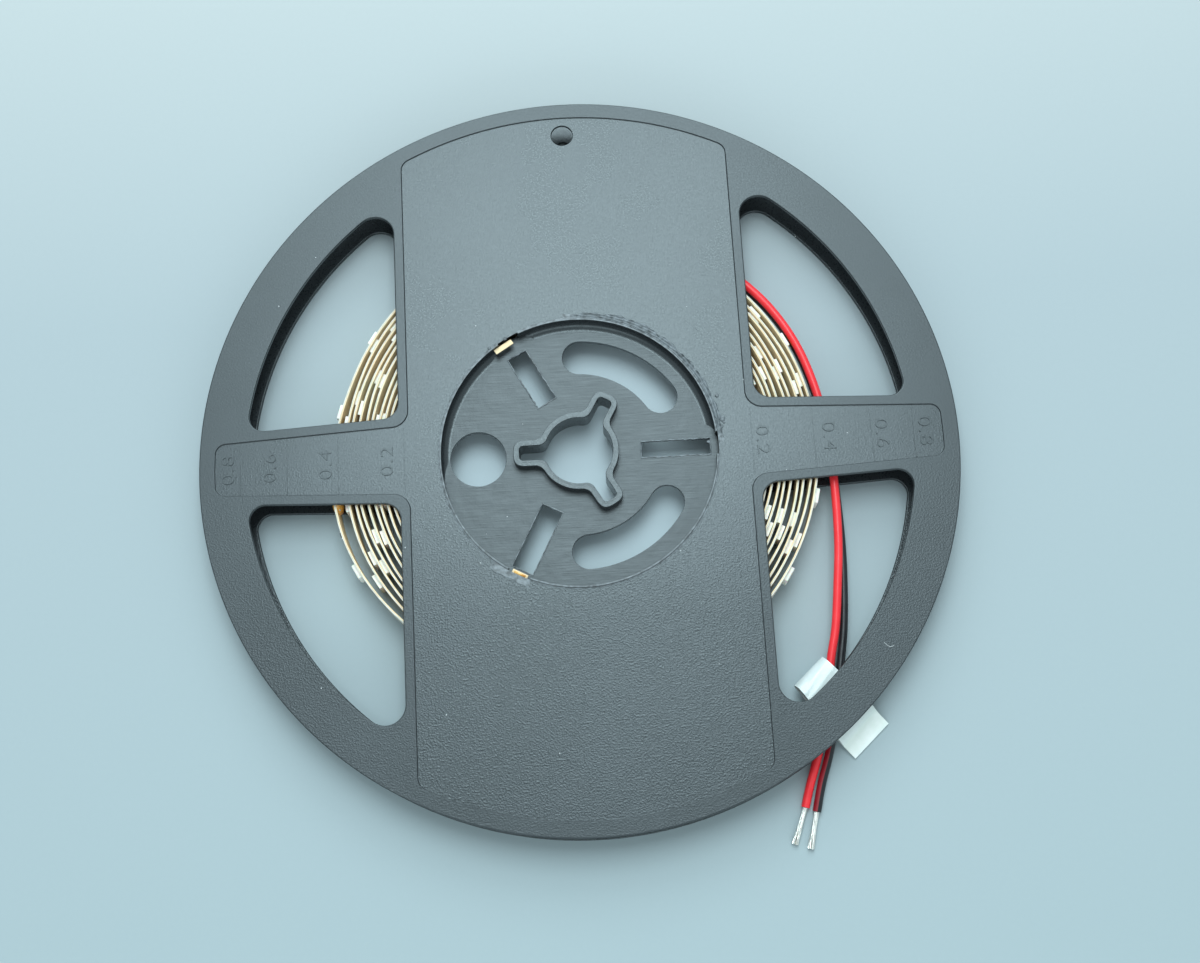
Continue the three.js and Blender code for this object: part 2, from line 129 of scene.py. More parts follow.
def bump(tree, shader, height, strength, distance):
    """Bump on the shader's normal, after any bump that is already there."""
    added = node(tree, "ShaderNodeBump", [("Height", height), ("Strength", strength), ("Distance", distance)])
    if shader.inputs["Normal"].is_linked:
        tree.links.new(shader.inputs["Normal"].links[0].from_socket, added.inputs["Normal"])
    tree.links.new(added.outputs["Normal"], shader.inputs["Normal"])


def clouded(name, slots, cloud, stops, *bumps):
    """A material whose colour clouds between stops: cloud is the noise's scale and detail, and each bump adds
    a strength and a distance to those."""
    made, tree, shader = material(name, slots)
    tree.links.new(ramp(tree, noise(tree, *cloud), stops), shader.inputs["Base Color"])
    for scale, detail, strength, distance in bumps:
        bump(tree, shader, noise(tree, scale, detail), strength, distance)
    return made


card, tree, shader = material("pale_card", [("Roughness", 0.85), ("Specular IOR Level", 0.2)])
card_place = object_place(tree)
card_split = node(tree, "ShaderNodeSeparateXYZ", [("Vector", card_place)])
# Painted light: the card is painted lighter towards the far side, where the lamp is
card_far_painted_light = map_range(tree, card_split.outputs["Y"], -0.12, 0.2)
card_colour = ramp(tree, card_far_painted_light, [
    (0, (0.385, 0.463, 0.483)), (0.5, (0.402, 0.459, 0.480)), (1, (0.54, 0.566, 0.554))])
# Painted light: the card is painted lighter under the hub, where it shows through the openings
card_reach = node(tree, "ShaderNodeVectorMath", [(0, card_place)], operation="LENGTH").outputs["Value"]
card_hub_painted_light = ramp(tree, card_reach, [(0.027, (0.72, 0.72, 0.73)), (0.038, 0.5)])
card_hub_painted_light_doubled = mix(tree, "ADD", 1.0, card_hub_painted_light, card_hub_painted_light)
card_colour = mix(tree, "MULTIPLY", 1.0, card_colour, card_hub_painted_light_doubled)
card_fibre = ramp(tree, noise(tree, 900), [(0.3, 0.8), (0.7, 1)])
tree.links.new(mix(tree, "MULTIPLY", 0.05, card_colour, card_fibre), shader.inputs["Base Color"])
bpy.ops.mesh.primitive_plane_add(size=3, location=(0, 0, 0))
floor = bpy.context.object
floor.name = "floor"
floor.data.materials.append(card)

# Light: a large soft lamp high on the far side, a lower one behind it, a weak fill on the near side, and an
# even pale surround.
LIGHT_TINT = (0.80, 0.95, 1)
for lamp_name, width, height, energy, place in (
        ("far_softbox", 0.45, 0.56, 5.35, (0, 0.303, 0.85)),
        ("far_low_softbox", 0.8, 0.5, 4.9, (0, 0.95, 0.72)),
        ("near_fill", 1.2, 0.3, 2.0, (0, -0.75, 0.4))):
    lamp_data = bpy.data.lights.new(lamp_name, "AREA")
    lamp_data.shape = "RECTANGLE"
    lamp_data.size = width
    lamp_data.size_y = height
    lamp_data.energy = energy
    lamp_data.color = LIGHT_TINT
    lamp = bpy.data.objects.new(lamp_name, lamp_data)
    lamp.location = place
    lamp.rotation_euler = (-lamp.location).to_track_quat("-Z", "Y").to_euler()
    bpy.context.scene.collection.objects.link(lamp)
bpy.context.scene.view_settings.view_transform = "Standard"
surround = bpy.context.scene.world or bpy.data.worlds.new("surround")
bpy.context.scene.world = surround
surround.use_nodes = True
surround.node_tree.nodes["Background"].inputs["Color"].default_value = (*LIGHT_TINT, 1)
surround.node_tree.nodes["Background"].inputs["Strength"].default_value = 0.64

# Leads: two stranded wires in smooth PVC, red over black. They leave the end of the strip side by side,
# follow the roll round, and come out under the rim at the near right with their ends bared and tinned.
LEAD_DIAMETER = 0.002
LEAD_ROUTES = {
    "red_lead": [
        (-5, 57.95, 6.3), (8, 57.6, 6.3), (20, 54.75, 6.3), (31, 49.7, 6.3), (40, 42.6, 6.3), (47.5, 34.5, 6.3),
        (53.3, 24.5, 6.3), (57, 12.9, 6.3), (58.9, 0.5, 6.3), (59.4, -12, 6.2), (59.1, -24.1, 6),
        (58.1, -34.1, 5.5), (56.8, -44.1, 4.8), (55.1, -51.6, 4.2), (52.8, -64, 3.2), (50.6, -72.5, 2.5),
        (48.2, -79.4, 1.5), (46.7, -84.4, 1.02),
    ],
    "black_lead": [
        (-5, 57.95, 3.9), (8, 57.6, 3.9), (20, 54.75, 3.9), (31, 49.7, 3.9), (40, 42.6, 3.9), (47.5, 34.5, 3.9),
        (53.3, 24.5, 3.9), (57.1, 12.9, 3.9), (59.2, 0.5, 3.9), (59.9, -12, 3.9), (60.1, -24.1, 3.8),
        (59.7, -34.1, 3.6), (58.8, -44.1, 3.3), (57.5, -51.6, 3.1), (55.3, -64, 2.8), (53.1, -72.5, 2.45),
        (50.8, -79.4, 1.5), (49.2, -85.5, 1.02),
    ],
}
LEAD_TIPS = {"red_lead": (43.6, -92.4, 0.8), "black_lead": (47.1, -93.6, 0.8)}
RED_REFLECTION_STARTS = -0.062
STRANDS = 7
STRAND_STEPS = 12
STRAND_RADIUS = 0.00025


def deselect():
    bpy.ops.object.select_all(action="DESELECT")


def pick(piece):
    """Only this piece is selected and active."""
    deselect()
    piece.hide_set(False)
    piece.select_set(True)
    bpy.context.view_layer.objects.active = piece


@contextmanager
def editing(piece):
    """Edit mode with the piece's whole mesh selected."""
    pick(piece)
    bpy.ops.object.mode_set(mode="EDIT")
    bpy.ops.mesh.select_all(action="SELECT")
    yield
    bpy.ops.object.mode_set(mode="OBJECT")


def settle(piece):
    """Writes the piece's place, turn and scale into its mesh, so that its object sits at the origin."""
    pick(piece)
    bpy.ops.object.transform_apply(location=True, rotation=True, scale=True)
    return piece


def meshed(name, curve):
    """A curve turned into the mesh of a piece."""
    piece = bpy.data.objects.new(name, curve)
    bpy.context.scene.collection.objects.link(piece)
    pick(piece)
    bpy.ops.object.convert(target="MESH")
    return bpy.context.object


def tube(name, points, radius, sides):
    """A round tube of even thickness along points, as a mesh with closed ends."""
    line = bpy.data.curves.new(name, "CURVE")
    line.dimensions = "3D"
    line.bevel_depth = radius
    line.bevel_resolution = max(0, sides // 4 - 1)
    line.use_fill_caps = True
    spline = line.splines.new("POLY")
    spline.points.add(len(points) - 1)
    for spot, point in zip(spline.points, points):
        spot.co = (*point, 1)
    piece = meshed(name, line)
    with editing(piece):
        bpy.ops.mesh.remove_doubles(threshold=1e-7)
        bpy.ops.mesh.normals_make_consistent(inside=False)
    return piece


def join_up(name, parts):
    """The parts as one piece; the first gives it its mesh's name."""
    deselect()
    for part in parts:
        part.select_set(True)
    bpy.context.view_layer.objects.active = parts[0]
    bpy.ops.object.join()
    piece = bpy.context.object
    piece.name = name
    return piece


def smooth_route(points, steps):
    """Points on one smooth line through those given, so many to a span."""
    spots = [Vector(point) for point in points]
    spots = [2 * spots[0] - spots[1], *spots, 2 * spots[-1] - spots[-2]]
    route = []
    for before, start, end, after in zip(spots, spots[1:], spots[2:], spots[3:]):
        for step in range(steps):
            t = step / steps
            route.append(0.5 * (2 * start + (end - before) * t
                                + (2 * before - 5 * start + 4 * end - after) * t * t
                                + (3 * start - before - 3 * end + after) * t ** 3))
    return [*route, spots[-2]]


def finish_smooth(piece, degrees):
    pick(piece)
    bpy.ops.object.shade_smooth_by_angle(angle=math.radians(degrees))


def cover(piece, *finishes):
    """Gives the piece these materials and no others."""
    piece.data.materials.clear()
    for finish in finishes:
        piece.data.materials.append(finish)


def dress(piece, cad=None, smooth=None):
    """Rides the piece on the one body, its smoothing angle and the solid that it replaces."""
    if smooth:
        finish_smooth(piece, smooth)
    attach(piece, "root")
    if cad:
        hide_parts(cad)


def pvc(name, colour, deep):
    """Soft extruded PVC: an even colour with faint cloudiness and drawing marks."""
    made, tree, shader = material(name, [("Roughness", 0.3), ("Specular IOR Level", 0.5)])
    tree.links.new(ramp(tree, noise(tree, 300, 3), [(0.3, deep), (0.7, colour)]), shader.inputs["Base Color"])
    tree.links.new(ramp(tree, noise(tree, 700), [(0.3, 0.28), (0.7, 0.42)]), shader.inputs["Roughness"])
    bump(tree, shader, noise(tree, 1400, 3), 0.08, 0.0002)
    return made


lead_finish = {
    "red_lead": pvc("red_pvc", (0.95, 0.035, 0.045), (0.88, 0.025, 0.035)),
    "black_lead": pvc("black_pvc", (0.016, 0.017, 0.02), (0.008, 0.008, 0.01)),
    # The dark red on the black lead is a painted reflection of the red lead
    "painted_red_reflection": pvc("painted_red_reflection_pvc", (0.32, 0.012, 0.022), (0.24, 0.008, 0.015)),
}
tinned = clouded("tinned_copper", [("Metallic", 1.0), ("Roughness", 0.32)], (1500, 3),
                 [(0.3, (0.86, 0.84, 0.78)), (0.7, (0.98, 0.97, 0.92))], (3000, 2, 0.3, 0.0001))

lead_runs = []
for lead, route in LEAD_ROUTES.items():
    colour = lead.split("_")[0]
    points = [point / 1000 for point in smooth_route(route, 8)]
    sleeve = tube(lead.replace("lead", "insulation"), points, LEAD_DIAMETER / 2, 20)
    sleeve.data.materials.append(lead_finish[lead])
    if lead == "black_lead":
        # Near its end the side that faces the red lead is painted dark red, a painted reflection of the red lead
        sleeve.data.materials.append(lead_finish["painted_red_reflection"])
        partner = [point / 1000 for point in smooth_route(LEAD_ROUTES["red_lead"], 8)]
        for face in sleeve.data.polygons:
            nearest = min(range(len(points)), key=lambda index: (points[index] - face.center).length)
            towards = (partner[nearest] - points[nearest]).normalized()
            if face.normal.dot(towards) > -0.15 and face.center.y < RED_REFLECTION_STARTS:
                face.material_index = 1
    dress(sleeve, lead, 60)

    # The bared end: strands with a slight lay, wetted together with solder and splayed at the tip
    start = points[-1]
    tip = Vector(LEAD_TIPS[lead]) / 1000
    heading = (tip - start).normalized()
    across = heading.cross(Vector((0, 0, 1))).normalized()
    up = across.cross(heading)
    strands = []
    for strand in range(STRANDS):
        line = []
        for step in range(STRAND_STEPS + 1):
            share = step / STRAND_STEPS
            splay = share ** 3
            reach = start.lerp(tip, share) + heading * 0.00012 * (1 - share)
            spread = 0 if strand == 0 else 0.00036 + 0.00013 * splay
            angle = strand * math.tau / (STRANDS - 1) + 1.2 * share
            line.append(reach + across * spread * math.cos(angle) * (1 + 0.25 * splay)
                        + up * spread * math.sin(angle) * (1 - 0.2 * share))
        strands.append(tube("strand", line, STRAND_RADIUS, 10))
    bared = join_up(colour + "_bared_end", strands)
    bared.data.materials.append(tinned)
    dress(bared, colour + "_conductor", 60)
    length = sum((b - a).length for a, b in zip(points, points[1:]))
    lead_runs.append((sleeve, points, length, bared))

# Front flange: the upper of the two moulded discs, 1.1 mm of black ABS with a spark-eroded face. The mould
# sinks a cross-shaped field into it, a band with a tapering arm to each side, and leaves four windows, one
# small hole near the rim, and the bore that fits over the hub.
RIM_RADIUS = 89
RIM_STEPS = 232
FLANGE_THICKNESS = 1.1
REEL_HEIGHT = 10.4
HUB_RADIUS = 32.3
HUB_LIP = 0.45
SEAT_CLEARANCE = 0.1
RECESS_DEPTH = 0.35
SMALL_HOLE = (80.7, 2.65)
BAND_HALF_WIDTH = 39.8
BAND_END_RADIUS = 85.3
BAND_CORNER = 3
ARM_CORNER = 4
ARM_END_CORNER = 2.5
ARM_HALF_AT_BAND = 8.3
ARM_HALF_AT_END = 6.2
WINDOW_MARGIN = 2.3
WINDOW_OUTER_RADIUS = 78.3
WINDOW_TOP_CORNER = 4.6
WINDOW_ARM_CORNER = 3.6
WINDOW_INNER_CORNER = 4
ARM_SLOPE = (ARM_HALF_AT_END - ARM_HALF_AT_BAND) / (BAND_END_RADIUS - BAND_HALF_WIDTH)
QUARTERS = [(1, 1), (-1, 1), (-1, -1), (1, -1)]
EDGE_EASE = 0.3
LESSER_EASE = 0.53


def polar(radius, degrees, centre=(0, 0)):
    turn = math.radians(degrees)
    return (centre[0] + radius * math.cos(turn), centre[1] + radius * math.sin(turn))


def sweep(centre, radius, start, end, steps):
    """Points on an arc, from and to in degrees."""
    return [polar(radius, start + (end - start) * step / steps, centre) for step in range(steps + 1)]


def circle(radius):
    return sweep((0, 0), radius, 0, 358.5, 239)


def bearing(point):
    return math.degrees(math.atan2(point[1], point[0]))


def arm_edge(x, offset):
    """Half the height of an arm at a distance from the centre, moved out by an offset."""
    return ARM_HALF_AT_BAND + ARM_SLOPE * (x - BAND_HALF_WIDTH) + offset * math.hypot(1, ARM_SLOPE)


def arm_at_radius(radius, offset):
    """Where the arm's edge meets a circle round the centre."""
    start = arm_edge(0, offset)
    a = 1 + ARM_SLOPE ** 2
    b = 2 * ARM_SLOPE * start
    x = (-b + math.sqrt(b * b - 4 * a * (start ** 2 - radius ** 2))) / (2 * a)
    return x, arm_edge(x, offset)


def window_outline():
    inner = BAND_HALF_WIDTH + WINDOW_MARGIN
    slant = math.degrees(math.atan(ARM_SLOPE)) - 90
    near_x = inner + WINDOW_INNER_CORNER
    near = (near_x, arm_edge(near_x, WINDOW_MARGIN + WINDOW_INNER_CORNER))
    far = arm_at_radius(WINDOW_OUTER_RADIUS - WINDOW_ARM_CORNER, WINDOW_MARGIN + WINDOW_ARM_CORNER)
    top_x = inner + WINDOW_TOP_CORNER
    top = (top_x, math.sqrt((WINDOW_OUTER_RADIUS - WINDOW_TOP_CORNER) ** 2 - top_x ** 2))
    return [
        *sweep(near, WINDOW_INNER_CORNER, 180, 360 + slant, 14),
        *sweep(far, WINDOW_ARM_CORNER, slant, bearing(far), 14),
        *sweep((0, 0), WINDOW_OUTER_RADIUS, bearing(far), bearing(top), 44)[1:-1],
        *sweep(top, WINDOW_TOP_CORNER, bearing(top), 180, 18),
    ]


def recess_outline():
    end = arm_at_radius(BAND_END_RADIUS - ARM_END_CORNER, -ARM_END_CORNER)
    slant = math.degrees(math.atan(ARM_SLOPE)) + 90
    elbow_x = BAND_HALF_WIDTH + ARM_CORNER
    elbow = (elbow_x, arm_edge(elbow_x, ARM_CORNER))
    band_x = BAND_HALF_WIDTH - BAND_CORNER
    band_end = (band_x, math.sqrt((BAND_END_RADIUS - BAND_CORNER) ** 2 - band_x ** 2))
    quarter = [
        (BAND_END_RADIUS, 0),
        *sweep(end, ARM_END_CORNER, bearing(end), slant, 12),
        *sweep(elbow, ARM_CORNER, slant + 180, 180, 12),
        *sweep(band_end, BAND_CORNER, 0, bearing(band_end), 12),
        *sweep((0, 0), BAND_END_RADIUS, bearing(band_end), 90, 20)[1:],
    ]
    return [point for x, y in QUARTERS for point in mirrored(quarter, x, y)[:-1]]


def mirrored(points, x, y):
    """The outline in another quarter, still anticlockwise."""
    copy = [(px * x, py * y) for px, py in points]
    return copy[::-1] if x * y < 0 else copy


def filled(name, outlines, low, high):
    """Outlines in millimetres filled between two heights: the first is the edge and the rest are holes."""
    shape = bpy.data.curves.new(name, "CURVE")
    shape.dimensions = "2D"
    shape.fill_mode = "BOTH"
    shape.extrude = (high - low) / 2
    for outline in outlines:
        spline = shape.splines.new("POLY")
        spline.points.add(len(outline) - 1)
        for spot, (x, y) in zip(spline.points, outline):
            spot.co = (x, y, 0, 1)
        spline.use_cyclic_u = True
    piece = meshed(name, shape)
    piece.location.z = (high + low) / 2000
    piece.scale = (0.001,) * 3
    return settle(piece)


def closed(piece):
    """Merges the doubles of a shell and turns its faces outwards."""
    with editing(piece):
        bpy.ops.mesh.remove_doubles(threshold=2e-6)
        bpy.ops.mesh.normals_make_consistent(inside=False)
    return piece


def plate(name, outlines, low, high):
    """A flat plate between two heights."""
    return closed(filled(name, outlines, low, high))


def piece_of(name, spots, edges, faces=()):
    """A piece with a mesh of its own."""
    made = bpy.data.meshes.new(name)
    made.from_pydata(spots, edges, faces)
    piece = bpy.data.objects.new(name, made)
    bpy.context.scene.collection.objects.link(piece)
    return piece


def ring_of(name, spots):
    """A closed line, its points in millimetres."""
    count = len(spots)
    return piece_of(name, [(x / 1000, y / 1000, z / 1000) for x, y, z in spots],
                    [(index, (index + 1) % count) for index in range(count)])


def rise(height):
    bpy.ops.mesh.extrude_region_move(TRANSFORM_OT_translate={"value": (0, 0, height / 1000)})


def spun(name, profile, steps):
    """A closed profile of radius and height in millimetres, spun once round the reel's axis."""
    piece = ring_of(name, [(x, 0, z) for x, z in profile])
    with editing(piece):
        bpy.ops.mesh.spin(steps=steps, angle=math.tau, center=(0, 0, 0), axis=(0, 0, 1))
    return closed(piece)


def upright(outline, low, high):
    """The wall that stands on an outline."""
    piece = ring_of("wall", [(x, y, low) for x, y in outline])
    with editing(piece):
        rise(high - low)
    return piece


def flange(name, face, sunk, inner, bore):
    """One moulded disc, welded from its flat faces and its walls: outer face, sunk field, inner face."""
    rim = sweep((0, 0), RIM_RADIUS, 0, 360 - 360 / RIM_STEPS, RIM_STEPS - 1)
    windows = [mirrored(window_outline(), x, y) for x, y in QUARTERS]
    holes = [circle(bore), sweep(polar(SMALL_HOLE[0], 90), SMALL_HOLE[1], 0, 350, 35)]
    recess = recess_outline()
    parts = [filled("face", outlines, height, height) for outlines, height in (
        ([rim, *windows, recess], face), ([recess, *holes], sunk), ([rim, *windows, *holes], inner))]
    walls = [(rim, face), *[(window, face) for window in windows], *[(hole, sunk) for hole in holes]]
    parts += [upright(outline, inner, level) for outline, level in walls]
    parts.append(upright(recess, sunk, face))
    return closed(join_up(name, parts))


def modified(piece, kind, **settings):
    """Adds a modifier with its settings and applies it."""
    modifier = piece.modifiers.new(kind.lower(), kind)
    for setting, value in settings.items():
        setattr(modifier, setting, value)
    pick(piece)
    bpy.ops.object.modifier_apply(modifier=modifier.name)
    return piece


def ease_edges(piece, width, segments, share=lambda ends: 1):
    """Rounds level edges by a width in millimetres, times the share that an edge's two ends give."""
    with editing(piece):
        bpy.ops.mesh.dissolve_limited(angle_limit=math.radians(0.5))
    around = {edge: [] for edge in piece.data.edge_keys}
    for face in piece.data.polygons:
        for key in face.edge_keys:
            around[key].append(face.normal)
    weights = piece.data.attributes.new("bevel_weight_edge", "FLOAT", "EDGE")
    for edge in piece.data.edges:
        sides = around[edge.key]
        if len(sides) == 2 and sides[0].angle(sides[1]) > math.radians(50):
            ends = [piece.data.vertices[index].co * 1000 for index in edge.vertices]
            weights.data[edge.index].value = share(ends) if abs(ends[0].z - ends[1].z) < 0.01 else 0
    return modified(piece, "BEVEL", width=width / 1000, segments=segments, limit_method="WEIGHT",
                    use_clamp_overlap=False, face_strength_mode="FSTR_ALL")


def flange_share(ends):
    """The rim and the windows are rounded more than the sunk field and the holes."""
    middle = (ends[0] + ends[1]) / 2
    reach = math.hypot(middle.x, middle.y)
    x, y = abs(middle.x), abs(middle.y)
    in_window = x > BAND_HALF_WIDTH + 1 and y > arm_edge(x, 1) and reach < WINDOW_OUTER_RADIUS + 0.5
    return 1 if in_window or reach > RIM_RADIUS - 1 else LESSER_EASE


def finish_moulded(piece):
    """Smooth roundings between faces that stay flat."""
    with editing(piece):
        bpy.ops.mesh.quads_convert_to_tris(quad_method="BEAUTY", ngon_method="BEAUTY")
    finish_smooth(piece, 40)
    modified(piece, "WEIGHTED_NORMAL", keep_sharp=True, use_face_influence=True)
    turned = [corner.vector.copy() for corner in piece.data.corner_normals]
    for face in piece.data.polygons:
        if abs(face.normal.z) > 0.985:
            for loop in face.loop_indices:
                turned[loop] = Vector((0, 0, math.copysign(1, face.normal.z)))
    piece.data.normals_split_custom_set(turned)


recess_floor = REEL_HEIGHT - RECESS_DEPTH
front = flange("front_disc", REEL_HEIGHT, recess_floor, REEL_HEIGHT - FLANGE_THICKNESS,
               HUB_RADIUS + HUB_LIP + SEAT_CLEARANCE)
ease_edges(front, EDGE_EASE, 4, flange_share)

# The scale on the arms: lines across them and numbers, which stand a hair above the sunk face
SCALE = [("0.2", -41, -44.3), ("0.4", -56.5, -58.7), ("0.6", -68.5, -71.7), ("0.8", -79.5, -81.5),
         ("0.2", 40.7, 42.4), ("0.4", 55.2, 58), ("0.6", 68.7, 70.4), ("0.8", 78.6, 80.5)]
SCALE_LINE_HALF = 0.13
numbers = []
for text, line_x, number_x in SCALE:
    side = math.copysign(1, number_x)
    bpy.ops.object.text_add(location=((number_x + 0.6 * side) / 1000, 0, (recess_floor + 0.02) / 1000),
                            rotation=(0, 0, -side * math.pi / 2))
    number = bpy.context.object
    number.data.body = text
    number.data.align_x = "CENTER"
    number.data.align_y = "CENTER"
    number.data.size = 0.0043
    number.data.space_character = 1.1
    number.data.extrude = 0.00014
    number.data.bevel_depth = 0.00002
    number.data.offset = -0.00006
    number.scale = (1.3, 1, 1)
    pick(number)
    bpy.ops.object.convert(target="MESH")
    numbers.append(closed(settle(bpy.context.object)))
    reach = arm_edge(abs(line_x), -0.3)
    low_x, high_x = line_x - SCALE_LINE_HALF, line_x + SCALE_LINE_HALF
    numbers.append(plate("scale_line", [[(low_x, -reach), (high_x, -reach), (high_x, reach), (low_x, reach)]],
                         recess_floor - 0.02, recess_floor + 0.12))

# Rear half: the lower disc in one piece with the hub. The hub is a round wall with a floor across it, a well
# on each side, and a collar with a three-lobed bore; the floor has two long openings, a round one and three
# slots.
HUB_WALL = 0.9
WALL_TOP = 9.2
HUB_FLOOR_TOP = 7.2
HUB_FLOOR_BOTTOM = 6.0
NOTCH_LOW = HUB_FLOOR_TOP - 0.5
NOTCH_HALF = 2.7
COLLAR_TOP = 10.1
COLLAR_BOTTOM = 3.3
COLLAR_WALL = 1.4
HUB_EASE = 0.11


def arbor_outline(grow):
    """The three-lobed bore, grown outwards for the collar round it."""
    outer = 8 + grow
    half = 1.75 + grow
    tip = 14 + grow
    corner = 1.1 + grow
    blend = 1.8
    blend_angle = math.degrees(math.asin(half / outer) + blend / outer)
    shoulder = math.sqrt(outer ** 2 - half ** 2)
    points = []

    def curve(start, control, end, steps=6):
        for step in range(steps + 1):
            t = step / steps
            points.append(tuple((1 - t) ** 2 * a + 2 * t * (1 - t) * b + t * t * c
                                for a, b, c in zip(start, control, end)))

    for angle in (60, 180, 300):
        def along(distance, side):
            return polar(side, angle + 90, polar(distance, angle))
        curve(polar(outer, angle - blend_angle), along(shoulder, -half), along(shoulder + blend, -half))
        curve(along(tip - corner, -half), along(tip, -half), along(tip, corner - half))
        curve(along(tip, half - corner), along(tip, half), along(tip - corner, half))
        curve(along(shoulder + blend, half), along(shoulder, half), polar(outer, angle + blend_angle))
        points.extend(sweep((0, 0), outer, angle + blend_angle, angle + 120 - blend_angle, 14)[1:-1])
    return points


def kidney_outline(angle, span=27, radius=23.8, half=4.1):
    start, end = angle - span, angle + span
    return [
        *sweep((0, 0), radius + half, start, end, 24),
        *sweep(polar(radius, end), half, end, end + 180, 16)[1:-1],
        *sweep((0, 0), radius - half, end, start, 20),
        *sweep(polar(radius, start), half, start + 180, start + 360, 16)[1:-1],
    ]


def rough_slot(angle, inner, outer, width, rough):
    """A slot's outline along a radius, its edges ragged by so many millimetres."""
    corners = [(inner, -width / 2), (outer, -width / 2), (outer, width / 2), (inner, width / 2)]
    points = []
    for (x0, y0), (x1, y1) in zip(corners, corners[1:] + corners[:1]):
        steps = max(2, round(math.hypot(x1 - x0, y1 - y0) / 0.45))
        for step in range(steps):
            x = x0 + (x1 - x0) * step / steps + rng.uniform(-rough, rough)
            y = y0 + (y1 - y0) * step / steps + rng.uniform(-rough, rough)
            points.append(polar(y, angle + 90, polar(x, angle)))
    return points


def lip_share(ends):
    """Only the top of the lip is rounded."""
    return 1 if ends[0].z > REEL_HEIGHT - 0.01 else 0


rng = random.Random(5)
disc = flange("rear_disc", 0, RECESS_DEPTH, FLANGE_THICKNESS, HUB_RADIUS + 0.4)
ease_edges(disc, EDGE_EASE, 4, flange_share)
hub_ring = [circle(HUB_RADIUS + HUB_WALL), circle(HUB_RADIUS)]
hub_parts = [disc, plate("hub_wall", hub_ring, RECESS_DEPTH, NOTCH_LOW)]
notch = math.degrees(NOTCH_HALF / HUB_RADIUS)
for start, end in ((0, 118.5), (118.5, 242), (242, 360)):
    for depth, low, high in ((HUB_WALL, NOTCH_LOW, WALL_TOP), (HUB_LIP, WALL_TOP, REEL_HEIGHT)):
        # A stretch of the wall between two notches, its ends ragged where the cutter went through
        ends = [(start + notch + rng.uniform(-0.25, 0.25), end - notch + rng.uniform(-0.25, 0.25))
                for _ in range(2)]
        outline = [*sweep((0, 0), HUB_RADIUS + depth, *ends[0], 76),
                   *sweep((0, 0), HUB_RADIUS, *ends[1][::-1], 76)]
        stretch = plate("hub_wall", [outline], low, high)
        hub_parts.append(ease_edges(stretch, HUB_EASE, 2, lip_share))
slots = [rough_slot(*slot) for slot in (
    (0, 14.6, 31, 4, 0.1), (118.5, 14.6, 28.8, 5, 0.12), (242, 14.6, 31, 5.4, 0.03))]
hub_floor = plate("hub_floor", [
    circle(HUB_RADIUS + 0.6), kidney_outline(60), kidney_outline(-60), sweep(polar(23.8, 180), 6.6, 0, 354, 59),
    arbor_outline(COLLAR_WALL / 2), *slots], HUB_FLOOR_BOTTOM, HUB_FLOOR_TOP)
collar = plate("collar", [arbor_outline(COLLAR_WALL), arbor_outline(0)], COLLAR_BOTTOM, COLLAR_TOP)
hub_parts += [ease_edges(hub_floor, HUB_EASE, 2), ease_edges(collar, 0.14, 2)]
rear = join_up("rear_half", hub_parts)

# Moulded black plastic: near black with spark-eroded grain, glossier where the mould sinks the field in, and
# with the grain worn smoother towards the far side
BLACK_TINT = ("Specular Tint", (0.88, 0.97, 1, 1))
grained, tree, shader = material("grained_black", [("Specular IOR Level", 0.78), BLACK_TINT])
fine_grain = noise(tree, 2400, 2, 0.6)
tree.links.new(ramp(tree, noise(tree, 45, 3), [
    (0.3, (0.015, 0.018, 0.020)), (0.7, (0.023, 0.027, 0.030))]), shader.inputs["Base Color"])
grain_split = node(tree, "ShaderNodeSeparateXYZ", [("Vector", object_place(tree))])
tree.links.new(arithmetic(
    tree, "ADD", map_range(tree, grain_split.outputs["Z"], 0.0101, 0.0103, 0.31, 0.39),
    map_range(tree, fine_grain, 0.3, 0.7, 0.07, -0.07)), shader.inputs["Roughness"])
grain_near = map_range(tree, grain_split.outputs["Y"], 0.005, -0.04, 0.18, 1)
bump(tree, shader, arithmetic(tree, "MULTIPLY", fine_grain, grain_near), 0.85, 0.00013)

# The hub's floor is dressed with long fine strokes from side to side
brushed, tree, shader = material("brushed_black", [("Specular IOR Level", 0.74), BLACK_TINT])
strokes = node(tree, "ShaderNodeVectorMath", [(0, object_place(tree)), (1, (140, 3800, 1))],
               operation="MULTIPLY")
streaks = noise(tree, 1, 3, 0.6, strokes.outputs["Vector"])
for stops, socket in (([(0.3, (0.014, 0.016, 0.018)), (0.7, (0.030, 0.034, 0.037))], "Base Color"),
                      ([(0.3, 0.42), (0.7, 0.34)], "Roughness")):
    tree.links.new(ramp(tree, streaks, stops), shader.inputs[socket])
bump(tree, shader, streaks, 0.6, 0.00006)
bump(tree, shader, noise(tree, 260, 3), 0.5, 0.0003)

# Lighter torn plastic for the burrs, the flash and the lip's top; on the lip and the flash its light colour is
# partly a painted highlight
torn_and_painted_highlight = clouded("torn_black_and_painted_highlight", [("Roughness", 0.42), ("Specular IOR Level", 0.6)], (900, 3),
               [(0.3, (0.05, 0.06, 0.065)), (0.7, (0.22, 0.25, 0.27))], (1600, 3, 0.7, 0.00012))
for piece, name, cad in ((front, "front_flange_moulding", "front_flange"),
                         (rear, "rear_half_moulding", "rear_half")):
    piece.name = name
    cover(piece, grained)
    finish_moulded(piece)
    dress(piece, cad)
rear.data.materials.append(brushed)
rear.data.materials.append(torn_and_painted_highlight)
for face in rear.data.polygons:
    if face.normal.z > 0.99 and abs(face.center.z * 1000 - HUB_FLOOR_TOP) < 0.05:
        face.material_index = 1
    # The top of the hub's lip takes the lighter torn colour, partly as a painted highlight
    elif face.normal.z > 0.5 and face.center.z > 0.01025 and math.hypot(face.center.x, face.center.y) < 0.033:
        face.material_index = 2
for number in numbers:
    number.name = "scale_relief"
    cover(number, grained)
    dress(number)


